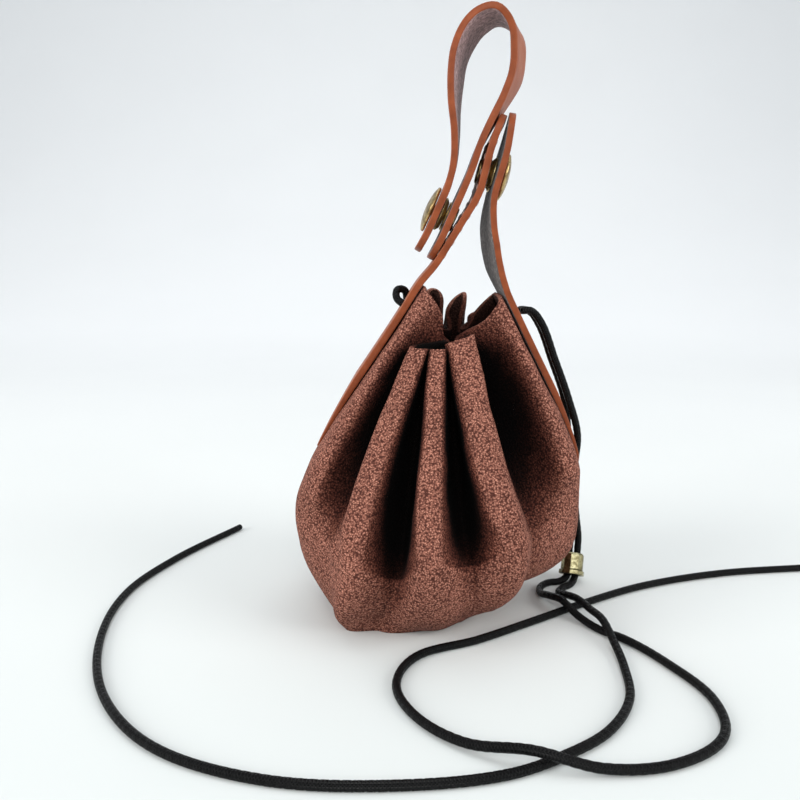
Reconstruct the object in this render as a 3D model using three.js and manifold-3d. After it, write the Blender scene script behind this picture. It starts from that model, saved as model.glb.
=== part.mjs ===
// Drawstring dice bag with a snapped belt loop, in millimetres.
// The origin is the middle of the flat base, on the floor. +X is right, +Y is back, +Z is up.
import * as THREE from 'three';
import { ParametricGeometry } from 'three/addons/geometries/ParametricGeometry.js';
import { mergeVertices } from 'three/addons/utils/BufferGeometryUtils.js';
import Module from 'manifold-3d';

const wasm = await Module();
wasm.setup();

// Leather
const BAG_WALL = 1.4;
const STRAP_WIDTH = 20;
const STRAP_THICKNESS = 2.2;
const STRAP_CORNER = 6;
const STRAP_EDGE = 0.5;
// A pared edge is rounded by no more than this share of its thickness
const STRAP_EDGE_SHARE = 0.3;
// Steps along the rounded corners of an end, in corner radii
const STRAP_END_STEPS = [0, 0.12, 0.45];
const SEAT_GAP = 0.3;

// Bag form
const MOUTH_CENTRE = new THREE.Vector2(4.5, 0);
const VALLEY_HALF_LOW = 3;
const VALLEY_HALF_RIM = 0.6;
// Rows from the base to the belly. angle: place on the quarter round in degrees.
// folded: share of the full fold.
const LOW_ROWS = [
  { angle: 0, folded: 0 },
  { angle: 28, folded: 0 },
  { angle: 54, folded: 0.03 },
  { angle: 76, folded: 0.14 },
];
// Rows above the belly, where the folds soon reach their full shape
const BELLY_FOLDED = 0.3;
const FOLD_FULL = 0.25;
const UPPER_ROWS = 11;
// Rows lie closer together just above the belly, where the folds begin
const ROW_SPREAD = 1.4;
// A ridge leaves the belly upright over a share of its rise, and comes to the rim at a lean
const RIDGE_UPRIGHT = 0.25;
const RIDGE_LEAN_OUT = 0.48;
const RIDGE_LEAN_DOWN = 0.43;
// Share of a valley's rise at which it is deepest
const DEEP_RISE = 0.6;
// A fold is no deeper than these shares of its width and of the valley beside it
const DEPTH_TO_WIDTH = 0.12;
const DEPTH_TO_NOTCH = 0.4;
// Depth of a valley's round bottom, in half widths of the valley
const VALLEY_ROUND = 1.1;
// How much of its depth a strapped fold keeps at the rim, where it is flat under the strap
const STRAPPED_RIM_DEPTH = 0.45;

// One row a fold, counter-clockwise seen from above, starting at the right.
// azimuth, azimuthFoot: direction of the ridge at the belly and at the floor, in degrees from +X.
// foot: its radius at the floor. belly, height: its largest radius and the height there.
// halfLow, halfRim: half the fold's width above the belly and at the rim.
// rim: top of the ridge. tilt: slope of the cut top. strapped: a strap lies on this fold.
const RIDGES = [
  {
    azimuth: 0, azimuthFoot: 0, foot: 4, belly: 47.5, height: 40, halfLow: 22, halfRim: 9.8,
    rim: [19.3, 0, 107.8], tilt: 0, strapped: true,
  },
  {
    azimuth: 56, azimuthFoot: 52, foot: 29, belly: 49, height: 33, halfLow: 7, halfRim: 3.2,
    rim: [14.5, 16.5, 100], tilt: 0, strapped: false,
  },
  {
    azimuth: 90, azimuthFoot: 90, foot: 31, belly: 49, height: 31, halfLow: 7, halfRim: 3.2,
    rim: [7, 19, 105], tilt: 0, strapped: false,
  },
  {
    azimuth: 124, azimuthFoot: 128, foot: 33, belly: 49, height: 31, halfLow: 7, halfRim: 3.2,
    rim: [-1.5, 17.2, 108], tilt: 0, strapped: false,
  },
  {
    azimuth: 180, azimuthFoot: 180, foot: 34, belly: 48.5, height: 31, halfLow: 24, halfRim: 9.8,
    rim: [-5.5, 0, 109.5], tilt: 0, strapped: true,
  },
  {
    azimuth: 236, azimuthFoot: 220, foot: 36, belly: 49.5, height: 27, halfLow: 5.8, halfRim: 3.1,
    rim: [-8.6, -20, 91.6], tilt: 0, strapped: false,
  },
  {
    azimuth: 264, azimuthFoot: 262, foot: 25, belly: 47.5, height: 30, halfLow: 5.2, halfRim: 2.5,
    rim: [-1.6, -21, 91.5], tilt: 0, strapped: false,
  },
  {
    azimuth: 298, azimuthFoot: 305, foot: 12, belly: 48, height: 34, halfLow: 5.6, halfRim: 4.7,
    rim: [6.6, -20, 93.8], tilt: 0.25, strapped: false,
  },
];
const RIGHT_FOLD = 0;
const LEFT_FOLD = 4;

// The valley after each fold. crease, creaseFoot: its direction where it starts and at the floor.
// start, inset: height and depth at its start. reach, lift: how far in and up it goes before it climbs.
// deep: where it is furthest in. top: its place at the rim.
const VALLEYS = [
  {
    crease: 33, creaseFoot: 26, start: 30, inset: 2.5, reach: 0.4, lift: 10,
    deep: [17, 15], top: [8.8, 6, 95],
  },
  {
    crease: 73, creaseFoot: 70, start: 24, inset: 2.5, reach: 0.5, lift: 5,
    deep: [8, 16], top: [9, 12, 93],
  },
  {
    crease: 107, creaseFoot: 110, start: 24, inset: 2.5, reach: 0.5, lift: 5,
    deep: [0, 15], top: [3, 12, 94],
  },
  {
    crease: 147, creaseFoot: 154, start: 30, inset: 2.5, reach: 0.4, lift: 10,
    deep: [-13, 8], top: [0, 7, 97],
  },
  {
    crease: 220, creaseFoot: 205, start: 33, inset: 2.5, reach: 0.3, lift: 14,
    deep: [-15, 4], top: [0.4, -7.6, 92.5],
  },
  {
    crease: 249, creaseFoot: 232, start: 17, inset: 5, reach: 0.6, lift: 5,
    deep: [-9, -8], top: [-2.8, -14.6, 89.8],
  },
  {
    crease: 283, creaseFoot: 288, start: 20, inset: 4.5, reach: 0.6, lift: 5,
    deep: [3, -8], top: [1.8, -11.5, 90],
  },
  {
    crease: 312, creaseFoot: 336, start: 34, inset: 3.5, reach: 0.3, lift: 18,
    deep: [12, 17], top: [6.4, -7.6, 93],
  },
];

// Straps: the lower part lies on a fold's ridge, the upper part follows these sections.
// The sewn lower end is skived thin on its outer side.
// x, z: middle of the strap. turn: how far its width is turned from +Y towards +X, in degrees.
const LEFT_STRAP_LOW_END = 0.38;
const RIGHT_STRAP_LOW_END = 0.2;
const SKIVED_LENGTH = 26;
const SKIVED_THICKNESS = 0.6;
const STRAP_SEATED_ROWS = 8;
const LEFT_STRAP_RISE = [
  { x: -1.8, z: 116.1, turn: 0 },
  { x: 2.0, z: 122, turn: 0 },
  { x: 6.3, z: 129, turn: 0 },
];
const LEFT_STRAP_END = { x: 18.5, z: 161.6, turn: 7 };
const RIGHT_STRAP_RISE = [
  { x: 18.0, z: 115, turn: -5 },
  { x: 16.5, z: 122, turn: -6 },
  { x: 15.7, z: 129, turn: -4 },
];
const RIGHT_STRAP_END = { x: 22.4, z: 161, turn: 8 };
// Belt loop: sections of its near edge, from the snapped end over the top to the sewn end.
const LOOP_SNAPPED_END = { x: -7.4, z: 120.6, turn: 0 };
const LOOP_SEWN_END = { x: -3.3, z: 118, turn: 0 };
const LOOP_SECTIONS = [
  { x: 3.6, z: 147.5, turn: 3 },
  { x: 3.7, z: 157, turn: 6 },
  { x: 2.6, z: 166, turn: 10 },
  { x: 2.4, z: 174, turn: 13 },
  { x: 3.3, z: 181, turn: 14 },
  { x: 6.0, z: 187.3, turn: 16 },
  { x: 9.8, z: 191, turn: 16 },
  { x: 14.0, z: 192.4, turn: 17 },
  { x: 17.8, z: 190.9, turn: 17 },
  { x: 20.6, z: 187.2, turn: 17 },
  { x: 21.4, z: 181.5, turn: 16 },
  { x: 20.7, z: 175, turn: 14 },
  { x: 17.9, z: 167.5, turn: 8 },
  { x: 14.1, z: 160.3, turn: 3 },
  { x: 11.1, z: 153, turn: 1 },
  { x: 8.4, z: 145.6, turn: 0 },
];

// Snaps: axis point midway between the two leathers, and the way from the cap to the stud.
const SNAP_GAP = 2.6;
const SNAP_CAP_RADIUS = 7.5;
const SNAP_CAP_DOME = 2.4;
// Outline of the cap's dome, as shares of its radius and height
const SNAP_CAP_OUTLINE = [[0, 1], [0.5, 0.86], [0.84, 0.5], [1, 0.2], [1, 0]];
const SNAP_SOCKET_RADIUS = 5.5;
const SNAP_SOCKET_THICKNESS = 1.5;
const SNAP_SOCKET_STEP = 0.6;
const SNAP_SOCKET_TOP_RADIUS = 4.4;
const SNAP_STUD_RADIUS = 4.8;
const SNAP_STUD_DISC = 0.5;
const SNAP_RIVET_RADIUS = 4;
const SNAP_RIVET_DISC = 0.6;
const SNAP_POST_RADIUS = 1.9;
const SNAP_POST_TIP_RADIUS = 1.33;
const SNAP_POST_WAIST_RADIUS = 1.615;
const SNAP_POST_SWELL = 0.45;
const SNAP_POST_GAP = 0.6;
const SNAP_RIVET_POST_RADIUS = 1.5;
const SNAP_CLEARANCE = 0.2;
const SNAP_HOLE_CLEARANCE = 0.5;
const SNAP_PUNCH_MARGIN = 1;
const SNAP_SIDES = 16;
const SNAP_FLAT = 7.5;
const BELT_SNAP = { x: 0.95, z: 132, slope: -24 };
const CLOSURE_SNAP = { x: 15.95, z: 144.8, slope: 165 };

// Drawstring
const CORD_RADIUS = 1.25;
const CORD_SIDES = 8;
const CORD_HOLE_CLEARANCE = 0.45;
// Route through the folds at the mouth, from the front hole in the right strap to the back one.
const GATHER_ROUTE = [
  [26.2, -2.6, 101.3], [21, -2.6, 100.4], [17.6, -2.8, 95.5], [12.2, -3.6, 90], [9.6, -9, 86.6],
  [6.5, -14.2, 85.6], [2, -15.6, 85.4], [-2, -15.8, 85.4], [-5.4, -13.4, 85.6], [-6.4, -8.8, 86.4],
  [-7.6, -4, 90], [-9, -2.8, 96.5], [-10.6, -3.2, 102.6], [-12.4, -2.8, 105.8], [-13.5, 0, 107.1],
  [-12.4, 2.8, 105.8], [-10.6, 3.2, 102.6], [-9, 3.2, 96.5], [-8.2, 6.2, 90.5], [-5, 10.8, 88],
  [1, 14.2, 87.5], [8, 14.6, 87.5], [13.5, 11.2, 89], [17.2, 5.6, 94.5], [21, 2.6, 100.4],
  [26.2, 2.6, 101.3],
];
// Free ends: out of the right strap, down behind the bag, through the stop and along the floor.
const FLOOR = CORD_RADIUS;
const OVER = 4.6;
const END_A_ROUTE = [
  [26.6, 2.6, 101.3], [29.9, 2.6, 101], [33.2, 3.4, 97.2], [38.6, 5.4, 84.5], [44, 8.4, 70.5],
  [46.6, 12.3, 57], [47.4, 16, 45], [48.4, 19.6, 34], [49.8, 22.2, 24], [51, 22.2, 15.5],
  [50.5, 20.4, 10.2], [49.84, 18.5, 6.1], [49, 16.2, 2.4], [46, 13.5, FLOOR], [41.5, 12, FLOOR],
  [37.8, 8, FLOOR], [36.8, 2, 1.6], [38.4, -5, 3.6], [41.5, -11, OVER], [45.5, -18, 2.2],
  [50.5, -26, FLOOR], [57, -33, FLOOR], [65, -48, FLOOR], [71, -68, FLOOR], [67, -85, FLOOR],
  [52, -96, FLOOR], [34, -99, 2], [18, -96, OVER], [3, -89, 2], [-9, -76, FLOOR],
  [-14, -60, FLOOR], [-8, -44, FLOOR], [11, -33.5, FLOOR], [30, -20.5, FLOOR], [49, -7, FLOOR],
  [75, 9, FLOOR], [108, 21, FLOOR], [145, 27, FLOOR],
];
const END_B_ROUTE = [
  [26.6, -2.6, 101.3], [29.9, -2.4, 101.2], [33.3, -1, 97.8], [39.2, 2, 84.5], [44.9, 4.8, 70.5],
  [49.5, 9.8, 57], [49.8, 13.6, 45], [50.6, 16.6, 34], [52.4, 19.6, 24], [53.8, 21.2, 15.5],
  [53.25, 19.4, 10.2], [52.56, 17.5, 6.1], [51.7, 15.2, 2.4], [49.5, 11, FLOOR], [45.5, 7, FLOOR],
  [43.2, 2, 1.8], [44, -4, 3.6], [47, -10, OVER], [49.5, -17, 4.2], [51.5, -26, OVER],
  [52.5, -37, 2.2], [52, -50, FLOOR], [48.5, -68, FLOOR], [39, -83, FLOOR], [26, -93, FLOOR],
  [12, -100, FLOOR], [-14, -104, FLOOR], [-44, -102, FLOOR], [-72, -90, FLOOR], [-92, -68, FLOOR],
  [-106, -34, FLOOR], [-110, 4, FLOOR], [-102, 36, FLOOR], [-84, 75, FLOOR],
];

// Cord stop: a short barrel with a flange, tilted on the floor behind the bag
const STOP_CENTRE = new THREE.Vector3(51.2, 18, 6.1);
const STOP_AXIS = new THREE.Vector3(-0.15, -0.42, -0.895).normalize();
const STOP_LENGTH = 8;
const STOP_BORE = 3.2;
const STOP_RADIUS = 4.1;
const STOP_FLANGE_RADIUS = 4.7;
const STOP_FLANGE_LENGTH = 1.6;
const STOP_SHOULDER = 0.6;
const STOP_SIDES = 10;

// Finishes
const SUEDE = { color: 0x8c5546, roughness: 0.95, metalness: 0 };
const TAN_LEATHER = { color: 0xaf5a32, roughness: 0.55, metalness: 0 };
const BRASS = { color: 0xb8985a, roughness: 0.35, metalness: 1 };
const WAXED_CORD = { color: 0x141414, roughness: 0.45, metalness: 0 };

const WELD_DISTANCE = 1e-4;

const radians = THREE.MathUtils.degToRad;
const mix = THREE.MathUtils.lerp;
const vector = (point) => new THREE.Vector3(...point);

// A mesh with shared vertices, no flat triangles and its faces pointing out
function welded(geometry) {
  geometry.deleteAttribute('normal');
  geometry.deleteAttribute('uv');
  const shared = mergeVertices(geometry, WELD_DISTANCE);
  const place = shared.getAttribute('position');
  const corners = [];
  let volume = 0;
  for (let i = 0; i < shared.index.count; i += 3) {
    const [a, b, c] = [0, 1, 2].map((k) => shared.index.getX(i + k));
    if (a === b || b === c || c === a) continue;
    corners.push([a, b, c]);
    const [p, q, r] = [a, b, c].map((k) => new THREE.Vector3().fromBufferAttribute(place, k));
    volume += p.dot(q.cross(r));
  }
  const outward = volume > 0 ? corners : corners.map(([a, b, c]) => [a, c, b]);
  shared.setIndex(outward.flat());
  return shared;
}

function solidOf(geometry) {
  return new wasm.Manifold(new wasm.Mesh({
    numProp: 3,
    vertProperties: Float32Array.from(geometry.getAttribute('position').array),
    triVerts: Uint32Array.from(geometry.index.array),
  }));
}

function geometryOf(solid) {
  const mesh = solid.getMesh();
  const geometry = new THREE.BufferGeometry();
  geometry.setAttribute('position', new THREE.BufferAttribute(mesh.vertProperties, 3));
  geometry.setIndex(new THREE.BufferAttribute(mesh.triVerts, 1));
  return geometry;
}

function cutBy(geometry, cutters) {
  const solid = cutters.reduce((rest, cutter) => rest.subtract(solidOf(cutter)), solidOf(geometry));
  return geometryOf(solid);
}

// A closed surface through rows of points, each row a ring
function ringSurface(rows) {
  const count = rows[0].length;
  const pointAt = (u, v, target) => {
    const row = rows[Math.round(v * (rows.length - 1))];
    target.copy(row[Math.round(u * count) % count]);
  };
  return new ParametricGeometry(pointAt, count, rows.length - 1);
}

// Splits each quad of a ring surface along its shorter diagonal
function splitShort(surface) {
  const corners = surface.index.array;
  const places = surface.getAttribute('position');
  const place = (corner) => new THREE.Vector3().fromBufferAttribute(places, corner);
  const quadCorners = 6;
  for (let k = 0; k < corners.length; k += quadCorners) {
    const [a, b, d, , c] = corners.slice(k, k + quadCorners);
    const flipped = place(a).distanceTo(place(c)) < place(b).distanceTo(place(d));
    if (flipped) corners.set([a, b, c, a, c, d], k);
  }
  return surface;
}

// Bag: guide lines of ridges and valleys
function atAzimuth(azimuth, radius, height) {
  return new THREE.Vector3(radius * Math.cos(radians(azimuth)), radius * Math.sin(radians(azimuth)), height);
}

function ridgeLine(fold) {
  const low = atAzimuth(fold.azimuth, fold.belly, fold.height);
  const top = vector(fold.rim);
  const rise = top.z - low.z;
  const leave = low.clone().setZ(low.z + RIDGE_UPRIGHT * rise);
  const arrive = top.clone().lerp(low, RIDGE_LEAN_OUT).setZ(top.z - RIDGE_LEAN_DOWN * rise);
  return new THREE.CubicBezierCurve3(low, leave, arrive, top);
}

function valleyLine(valley, fold, next) {
  const radius = (fold.belly + next.belly) / 2 - valley.inset;
  const low = atAzimuth(valley.crease, radius, valley.start);
  const top = vector(valley.top);
  const deep = new THREE.Vector3(...valley.deep, mix(low.z, top.z, DEEP_RISE));
  const leave = low.clone().lerp(deep, valley.reach).setZ(low.z + valley.lift);
  return new THREE.CubicBezierCurve3(low, leave, deep, top);
}

// Point between a ridge and a valley on a round section about a centre
function roundPoint(ridge, valley, centre, share) {
  const arm = new THREE.Vector2(ridge.x - centre.x, ridge.y - centre.y);
  const other = new THREE.Vector2(valley.x - centre.x, valley.y - centre.y);
  let turn = other.angle() - arm.angle();
  if (turn > Math.PI) turn -= 2 * Math.PI;
  if (turn < -Math.PI) turn += 2 * Math.PI;
  const angle = arm.angle() + turn * share;
  const ease = THREE.MathUtils.smoothstep(share, 0, 1);
  const radius = mix(arm.length(), other.length(), ease);
  const height = mix(ridge.z, valley.z, ease);
  return new THREE.Vector3(centre.x + radius * Math.cos(angle), centre.y + radius * Math.sin(angle), height);
}

// Half of a fold, from its crest towards a valley.
// share: share of the way round. drop: share of the drop. across, depth: place in half widths of the fold.
const PLEAT = [
  { share: 0, drop: 0, across: 0, depth: 0 },
  { share: 0.16, drop: 0.06, across: 0.7, depth: 0.15 },
  { share: 0.36, drop: 0.25, across: 1, depth: 0.75 },
];
const STRAPPED = [
  { share: 0, drop: 0, across: 0, depth: 0 },
  { share: 0.2, drop: 0.02, across: 0.72, depth: 0.03 },
  { share: 0.4, drop: 0.05, across: 1, depth: 0.3 },
];
// The wall from there to the valley. way: share of the wall.
const WALL_MIDDLE = { share: 0.6, drop: 0.57, way: 0.55 };
const WALL_END = { share: 0.85, drop: 0.93 };

// Half the width of a fold at one level
function halfWidth(fold, level) {
  return mix(fold.halfLow, fold.halfRim, fold.strapped ? level * level : level);
}

// Level direction across a fold. side: 1 towards the next fold, -1 towards the last.
function acrossFold(inward, side) {
  return new THREE.Vector3(inward.y * side, -inward.x * side, 0);
}

// One side of a fold at one level.
// notch: how far the valley is cut in below the round form, which limits the fold's depth.
function halfFold({ fold, ridge, inward, side, level, valley, valleyOut, notch, centre, folded }) {
  const half = halfWidth(fold, level);
  const flat = fold.strapped ? mix(1, STRAPPED_RIM_DEPTH, level) : 1;
  const across = acrossFold(inward, side);
  const bent = (fold.strapped ? STRAPPED : PLEAT).map((station) => {
    const lateral = station.across * half;
    const depth = Math.min(station.depth * flat * half, DEPTH_TO_WIDTH * lateral + DEPTH_TO_NOTCH * notch);
    const place = ridge.clone().addScaledVector(across, lateral).addScaledVector(inward, depth);
    place.setZ(mix(ridge.z, valley.z, station.drop) + side * fold.tilt * level * lateral);
    return { share: station.share, place };
  });
  const valleyHalf = mix(VALLEY_HALF_LOW, VALLEY_HALF_RIM, Math.sqrt(level));
  const beside = new THREE.Vector3(valleyOut.y * side, -valleyOut.x * side, 0);
  const end = valley.clone()
    .addScaledVector(valleyOut, Math.min(VALLEY_ROUND * valleyHalf, DEPTH_TO_NOTCH * notch))
    .addScaledVector(beside, valleyHalf);
  const middle = bent.at(-1).place.clone().lerp(end, WALL_MIDDLE.way);
  bent.push({ share: WALL_MIDDLE.share, place: middle.setZ(mix(ridge.z, valley.z, WALL_MIDDLE.drop)) });
  bent.push({ share: WALL_END.share, place: end.setZ(mix(ridge.z, valley.z, WALL_END.drop)) });
  return bent.map(({ share, place }) => roundPoint(ridge, valley, centre, share).lerp(place, folded));
}

// One ring of the bag's outer surface, given the ridge and valley points at that level
function bagRing(ridges, valleys, centre, level, folded) {
  const count = RIDGES.length;
  const flatWay = (a, b) => new THREE.Vector3(b.x - a.x, b.y - a.y, 0).normalize();
  const inward = RIDGES.map((fold, k) => {
    const throat = fold.strapped ? centre : valleys.at(k - 1).clone().lerp(valleys[k], 0.5);
    return flatWay(ridges[k], throat);
  });
  const edge = (k, side) => ridges[k].clone()
    .addScaledVector(acrossFold(inward[k], side), halfWidth(RIDGES[k], level));
  return RIDGES.flatMap((fold, k) => {
    const after = (k + 1) % count;
    const valley = valleys[k];
    const valleyOut = flatWay(valley, edge(k, 1).lerp(edge(after, -1), 0.5));
    const [reach, nextReach, valleyReach] = [ridges[k], ridges[after], valley]
      .map((point) => Math.hypot(point.x - centre.x, point.y - centre.y));
    const notch = Math.max(0, (reach + nextReach) / 2 - valleyReach);
    const shared = { level, valley, valleyOut, notch, centre, folded };
    const first = halfFold({ fold, ridge: ridges[k], inward: inward[k], side: 1, ...shared });
    const second = halfFold({
      fold: RIDGES[after], ridge: ridges[after], inward: inward[after], side: -1, ...shared,
    });
    return [...first, valley.clone(), ...second.slice(1).reverse()];
  });
}

// Rings of the bag's outer surface, from the foot to the rim
function bagRings() {
  const rings = [];
  const middle = new THREE.Vector2(0, 0);
  const nextRidge = (k) => RIDGES[(k + 1) % RIDGES.length];
  LOW_ROWS.forEach(({ angle, folded }) => {
    const out = Math.sin(radians(angle));
    const up = 1 - Math.cos(radians(angle));
    const ridges = RIDGES.map((fold) => {
      const azimuth = mix(fold.azimuthFoot, fold.azimuth, out * out);
      return atAzimuth(azimuth, mix(fold.foot, fold.belly, out), fold.height * up);
    });
    const valleys = VALLEYS.map((valley, k) => {
      const foot = (RIDGES[k].foot + nextRidge(k).foot) / 2;
      const belly = (RIDGES[k].belly + nextRidge(k).belly) / 2 - valley.inset;
      const azimuth = mix(valley.creaseFoot, valley.crease, out * out);
      return atAzimuth(azimuth, mix(foot, belly, out), valley.start * up);
    });
    rings.push(bagRing(ridges, valleys, middle, 0, folded));
  });
  const ridgeLines = RIDGES.map(ridgeLine);
  const valleyLines = VALLEYS.map((valley, k) => valleyLine(valley, RIDGES[k], nextRidge(k)));
  for (let k = 0; k <= UPPER_ROWS; k += 1) {
    const level = (k / UPPER_ROWS) ** ROW_SPREAD;
    const centre = middle.clone().lerp(MOUTH_CENTRE, level);
    const folded = mix(BELLY_FOLDED, 1, THREE.MathUtils.smoothstep(level, 0, FOLD_FULL));
    const ridges = ridgeLines.map((line) => line.getPoint(level));
    const valleys = valleyLines.map((line) => line.getPoint(level));
    rings.push(bagRing(ridges, valleys, centre, level, folded));
  }
  return rings;
}

// The bag's wall: the outer surface, and the inner one a wall's thickness inside it
function bagWall() {
  const rings = bagRings();
  const count = rings[0].length;
  const inner = rings.map((ring, row) => ring.map((point, i) => {
    const along = new THREE.Vector3().subVectors(ring[(i + 1) % count], ring[(i + count - 1) % count]);
    const above = rings[Math.min(row + 1, rings.length - 1)][i];
    const below = rings[Math.max(row - 1, 0)][i];
    const up = new THREE.Vector3().subVectors(above, below);
    return point.clone().addScaledVector(along.cross(up).normalize(), -BAG_WALL);
  }));
  const pole = (height) => Array.from({ length: count }, () => new THREE.Vector3(0, 0, height));
  return welded(splitShort(ringSurface([pole(0), ...rings, ...inner.reverse(), pole(BAG_WALL)])));
}

// A leather strip along sections of its middle line, with rounded corners at both ends.
// skived: side that is pared away at the first end, 1 or -1, or 0 for neither.
function strip(sections, skived) {
  const line = new THREE.CatmullRomCurve3(sections.map(({ x, y, z }) => new THREE.Vector3(x, y, z)));
  const length = line.getLength();
  const spans = Math.round(length / STRAP_CORNER);
  const inside = Array.from({ length: spans - 1 }, (_, k) => ((k + 1) * length) / spans);
  const distances = [
    ...STRAP_END_STEPS.map((share) => share * STRAP_CORNER),
    ...inside,
    ...STRAP_END_STEPS.toReversed().map((share) => length - share * STRAP_CORNER),
  ];
  const thick = STRAP_THICKNESS / 2;
  const ringAt = (distance) => {
    const share = distance / length;
    const middle = line.getPointAt(share);
    const along = line.getTangentAt(share);
    const place = line.getUtoTmapping(share) * (sections.length - 1);
    const row = Math.min(Math.floor(place), sections.length - 2);
    const turn = radians(mix(sections[row].turn, sections[row + 1].turn, place - row));
    const across = new THREE.Vector3(Math.sin(turn), Math.cos(turn), 0);
    across.addScaledVector(along, -across.dot(along)).normalize();
    const up = along.clone().cross(across);
    const fromEnd = Math.min(distance, length - distance, STRAP_CORNER);
    const rounding = STRAP_CORNER - Math.sqrt(STRAP_CORNER ** 2 - (STRAP_CORNER - fromEnd) ** 2);
    const half = STRAP_WIDTH / 2 - rounding;
    const paring = (STRAP_THICKNESS - SKIVED_THICKNESS) * Math.max(0, 1 - distance / SKIVED_LENGTH);
    const high = thick - (skived > 0 ? paring : 0);
    const low = -thick + (skived < 0 ? paring : 0);
    const edge = Math.min(STRAP_EDGE, STRAP_EDGE_SHARE * (high - low));
    const edges = [
      [half, low + edge], [half, high - edge],
      [half - edge, high], [edge - half, high],
      [-half, high - edge], [-half, low + edge],
      [edge - half, low], [half - edge, low],
    ];
    return edges.map(([a, b]) => middle.clone().addScaledVector(across, a).addScaledVector(up, b));
  };
  const rings = distances.map(ringAt);
  const cap = (share, ring) => ring.map(() => line.getPointAt(share));
  return welded(ringSurface([cap(0, rings[0]), ...rings, cap(1, rings[0])]));
}

// Sections of a strap that lies on a fold's ridge and then follows its own top sections
function strapSections(fold, outwardSign, lowEnd, topSections) {
  const line = ridgeLine(fold);
  const seated = [];
  for (let k = 0; k < STRAP_SEATED_ROWS; k += 1) {
    const level = mix(lowEnd, 1, k / (STRAP_SEATED_ROWS - 1));
    const place = line.getPoint(level);
    const along = line.getTangent(level);
    const outward = new THREE.Vector3(outwardSign * along.z, 0, -outwardSign * along.x).normalize();
    place.addScaledVector(outward, SEAT_GAP + STRAP_THICKNESS / 2);
    seated.push({ x: place.x, y: place.y, z: place.z, turn: 0 });
  }
  return [...seated, ...topSections.map((section) => ({ ...section, y: 0 }))];
}

// Flat stretch of leather under one side of a snap: -1 is the cap's side, 1 is the stud's
function snapSections({ x, z, slope }, side) {
  const reach = side * (SNAP_GAP + STRAP_THICKNESS) / 2;
  const [across, up] = [Math.cos(radians(slope)), Math.sin(radians(slope))];
  const uphill = Math.sign(across);
  return [-1, 0, 1].map((end) => ({
    x: x + reach * across - end * SNAP_FLAT * up * uphill,
    z: z + reach * up + end * SNAP_FLAT * across * uphill,
    turn: 0,
  }));
}

// The loop's sections are given at its near edge, so the middle is half a width further along the width
function loopSections() {
  const nearEdge = [
    LOOP_SNAPPED_END,
    ...snapSections(BELT_SNAP, -1),
    ...LOOP_SECTIONS,
    ...snapSections(BELT_SNAP, 1).toReversed(),
    LOOP_SEWN_END,
  ];
  return nearEdge.map(({ x, z, turn }) => ({
    x: x + (STRAP_WIDTH / 2) * Math.sin(radians(turn)),
    y: (STRAP_WIDTH / 2) * (Math.cos(radians(turn)) - 1),
    z,
    turn,
  }));
}

// Snap parts are turned about Z, with the middle of the gap between the leathers at z = 0 and the cap below.
function turned(profile, sides) {
  const outline = profile.map(([radius, height]) => new THREE.Vector2(radius, height));
  const shape = new THREE.LatheGeometry(outline, sides);
  return welded(shape.rotateX(Math.PI / 2));
}

const SNAP_FACE = SNAP_GAP / 2;
const SNAP_OUTSIDE = SNAP_FACE + STRAP_THICKNESS + SNAP_CLEARANCE;
const SOCKET_LOW = -SNAP_FACE + SNAP_CLEARANCE;
const SOCKET_HIGH = SOCKET_LOW + SNAP_SOCKET_THICKNESS;
const STUD_LOW = SNAP_FACE - SNAP_CLEARANCE - SNAP_STUD_DISC;

function snapCap() {
  return turned([
    ...SNAP_CAP_OUTLINE.map(([out, up]) => [out * SNAP_CAP_RADIUS, -SNAP_OUTSIDE - up * SNAP_CAP_DOME]),
    [SNAP_POST_RADIUS, -SNAP_OUTSIDE],
    [SNAP_POST_RADIUS, SOCKET_LOW + SNAP_CLEARANCE],
    [0, SOCKET_LOW + SNAP_CLEARANCE],
  ], SNAP_SIDES);
}

function snapSocket() {
  const bore = SNAP_POST_RADIUS + SNAP_HOLE_CLEARANCE;
  return turned([
    [bore, SOCKET_LOW],
    [SNAP_SOCKET_RADIUS, SOCKET_LOW],
    [SNAP_SOCKET_RADIUS, SOCKET_LOW + SNAP_SOCKET_STEP],
    [SNAP_SOCKET_TOP_RADIUS, SOCKET_HIGH],
    [bore, SOCKET_HIGH],
    [bore, SOCKET_LOW],
  ], SNAP_SIDES);
}

function snapStud() {
  const tip = SOCKET_LOW + SNAP_POST_GAP;
  return turned([
    [0, tip],
    [SNAP_POST_TIP_RADIUS, tip],
    [SNAP_POST_RADIUS, tip + SNAP_POST_SWELL],
    [SNAP_POST_WAIST_RADIUS, STUD_LOW],
    [SNAP_STUD_RADIUS, STUD_LOW],
    [SNAP_STUD_RADIUS, STUD_LOW + SNAP_STUD_DISC],
    [SNAP_RIVET_POST_RADIUS, STUD_LOW + SNAP_STUD_DISC],
    [SNAP_RIVET_POST_RADIUS, SNAP_OUTSIDE],
    [SNAP_RIVET_RADIUS, SNAP_OUTSIDE],
    [SNAP_RIVET_RADIUS, SNAP_OUTSIDE + SNAP_RIVET_DISC],
    [0, SNAP_OUTSIDE + SNAP_RIVET_DISC],
  ], SNAP_SIDES);
}

// Place of a snap: its Z axis points from the cap to the stud, at the given slope in the XZ plane
function snapFrame({ x, z, slope }) {
  const frame = new THREE.Group();
  frame.position.set(x, 0, z);
  frame.rotation.y = Math.PI / 2 - radians(slope);
  frame.updateMatrix();
  return frame;
}

// A punch that cuts the hole of one snap post through the leather between two heights on the snap's axis
function snapPunch(frame, radius, low, high) {
  const punch = new THREE.CylinderGeometry(radius, radius, high - low, SNAP_SIDES);
  punch.rotateX(Math.PI / 2);
  punch.translate(0, 0, (low + high) / 2);
  return welded(punch.applyMatrix4(frame.matrix));
}

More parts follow.
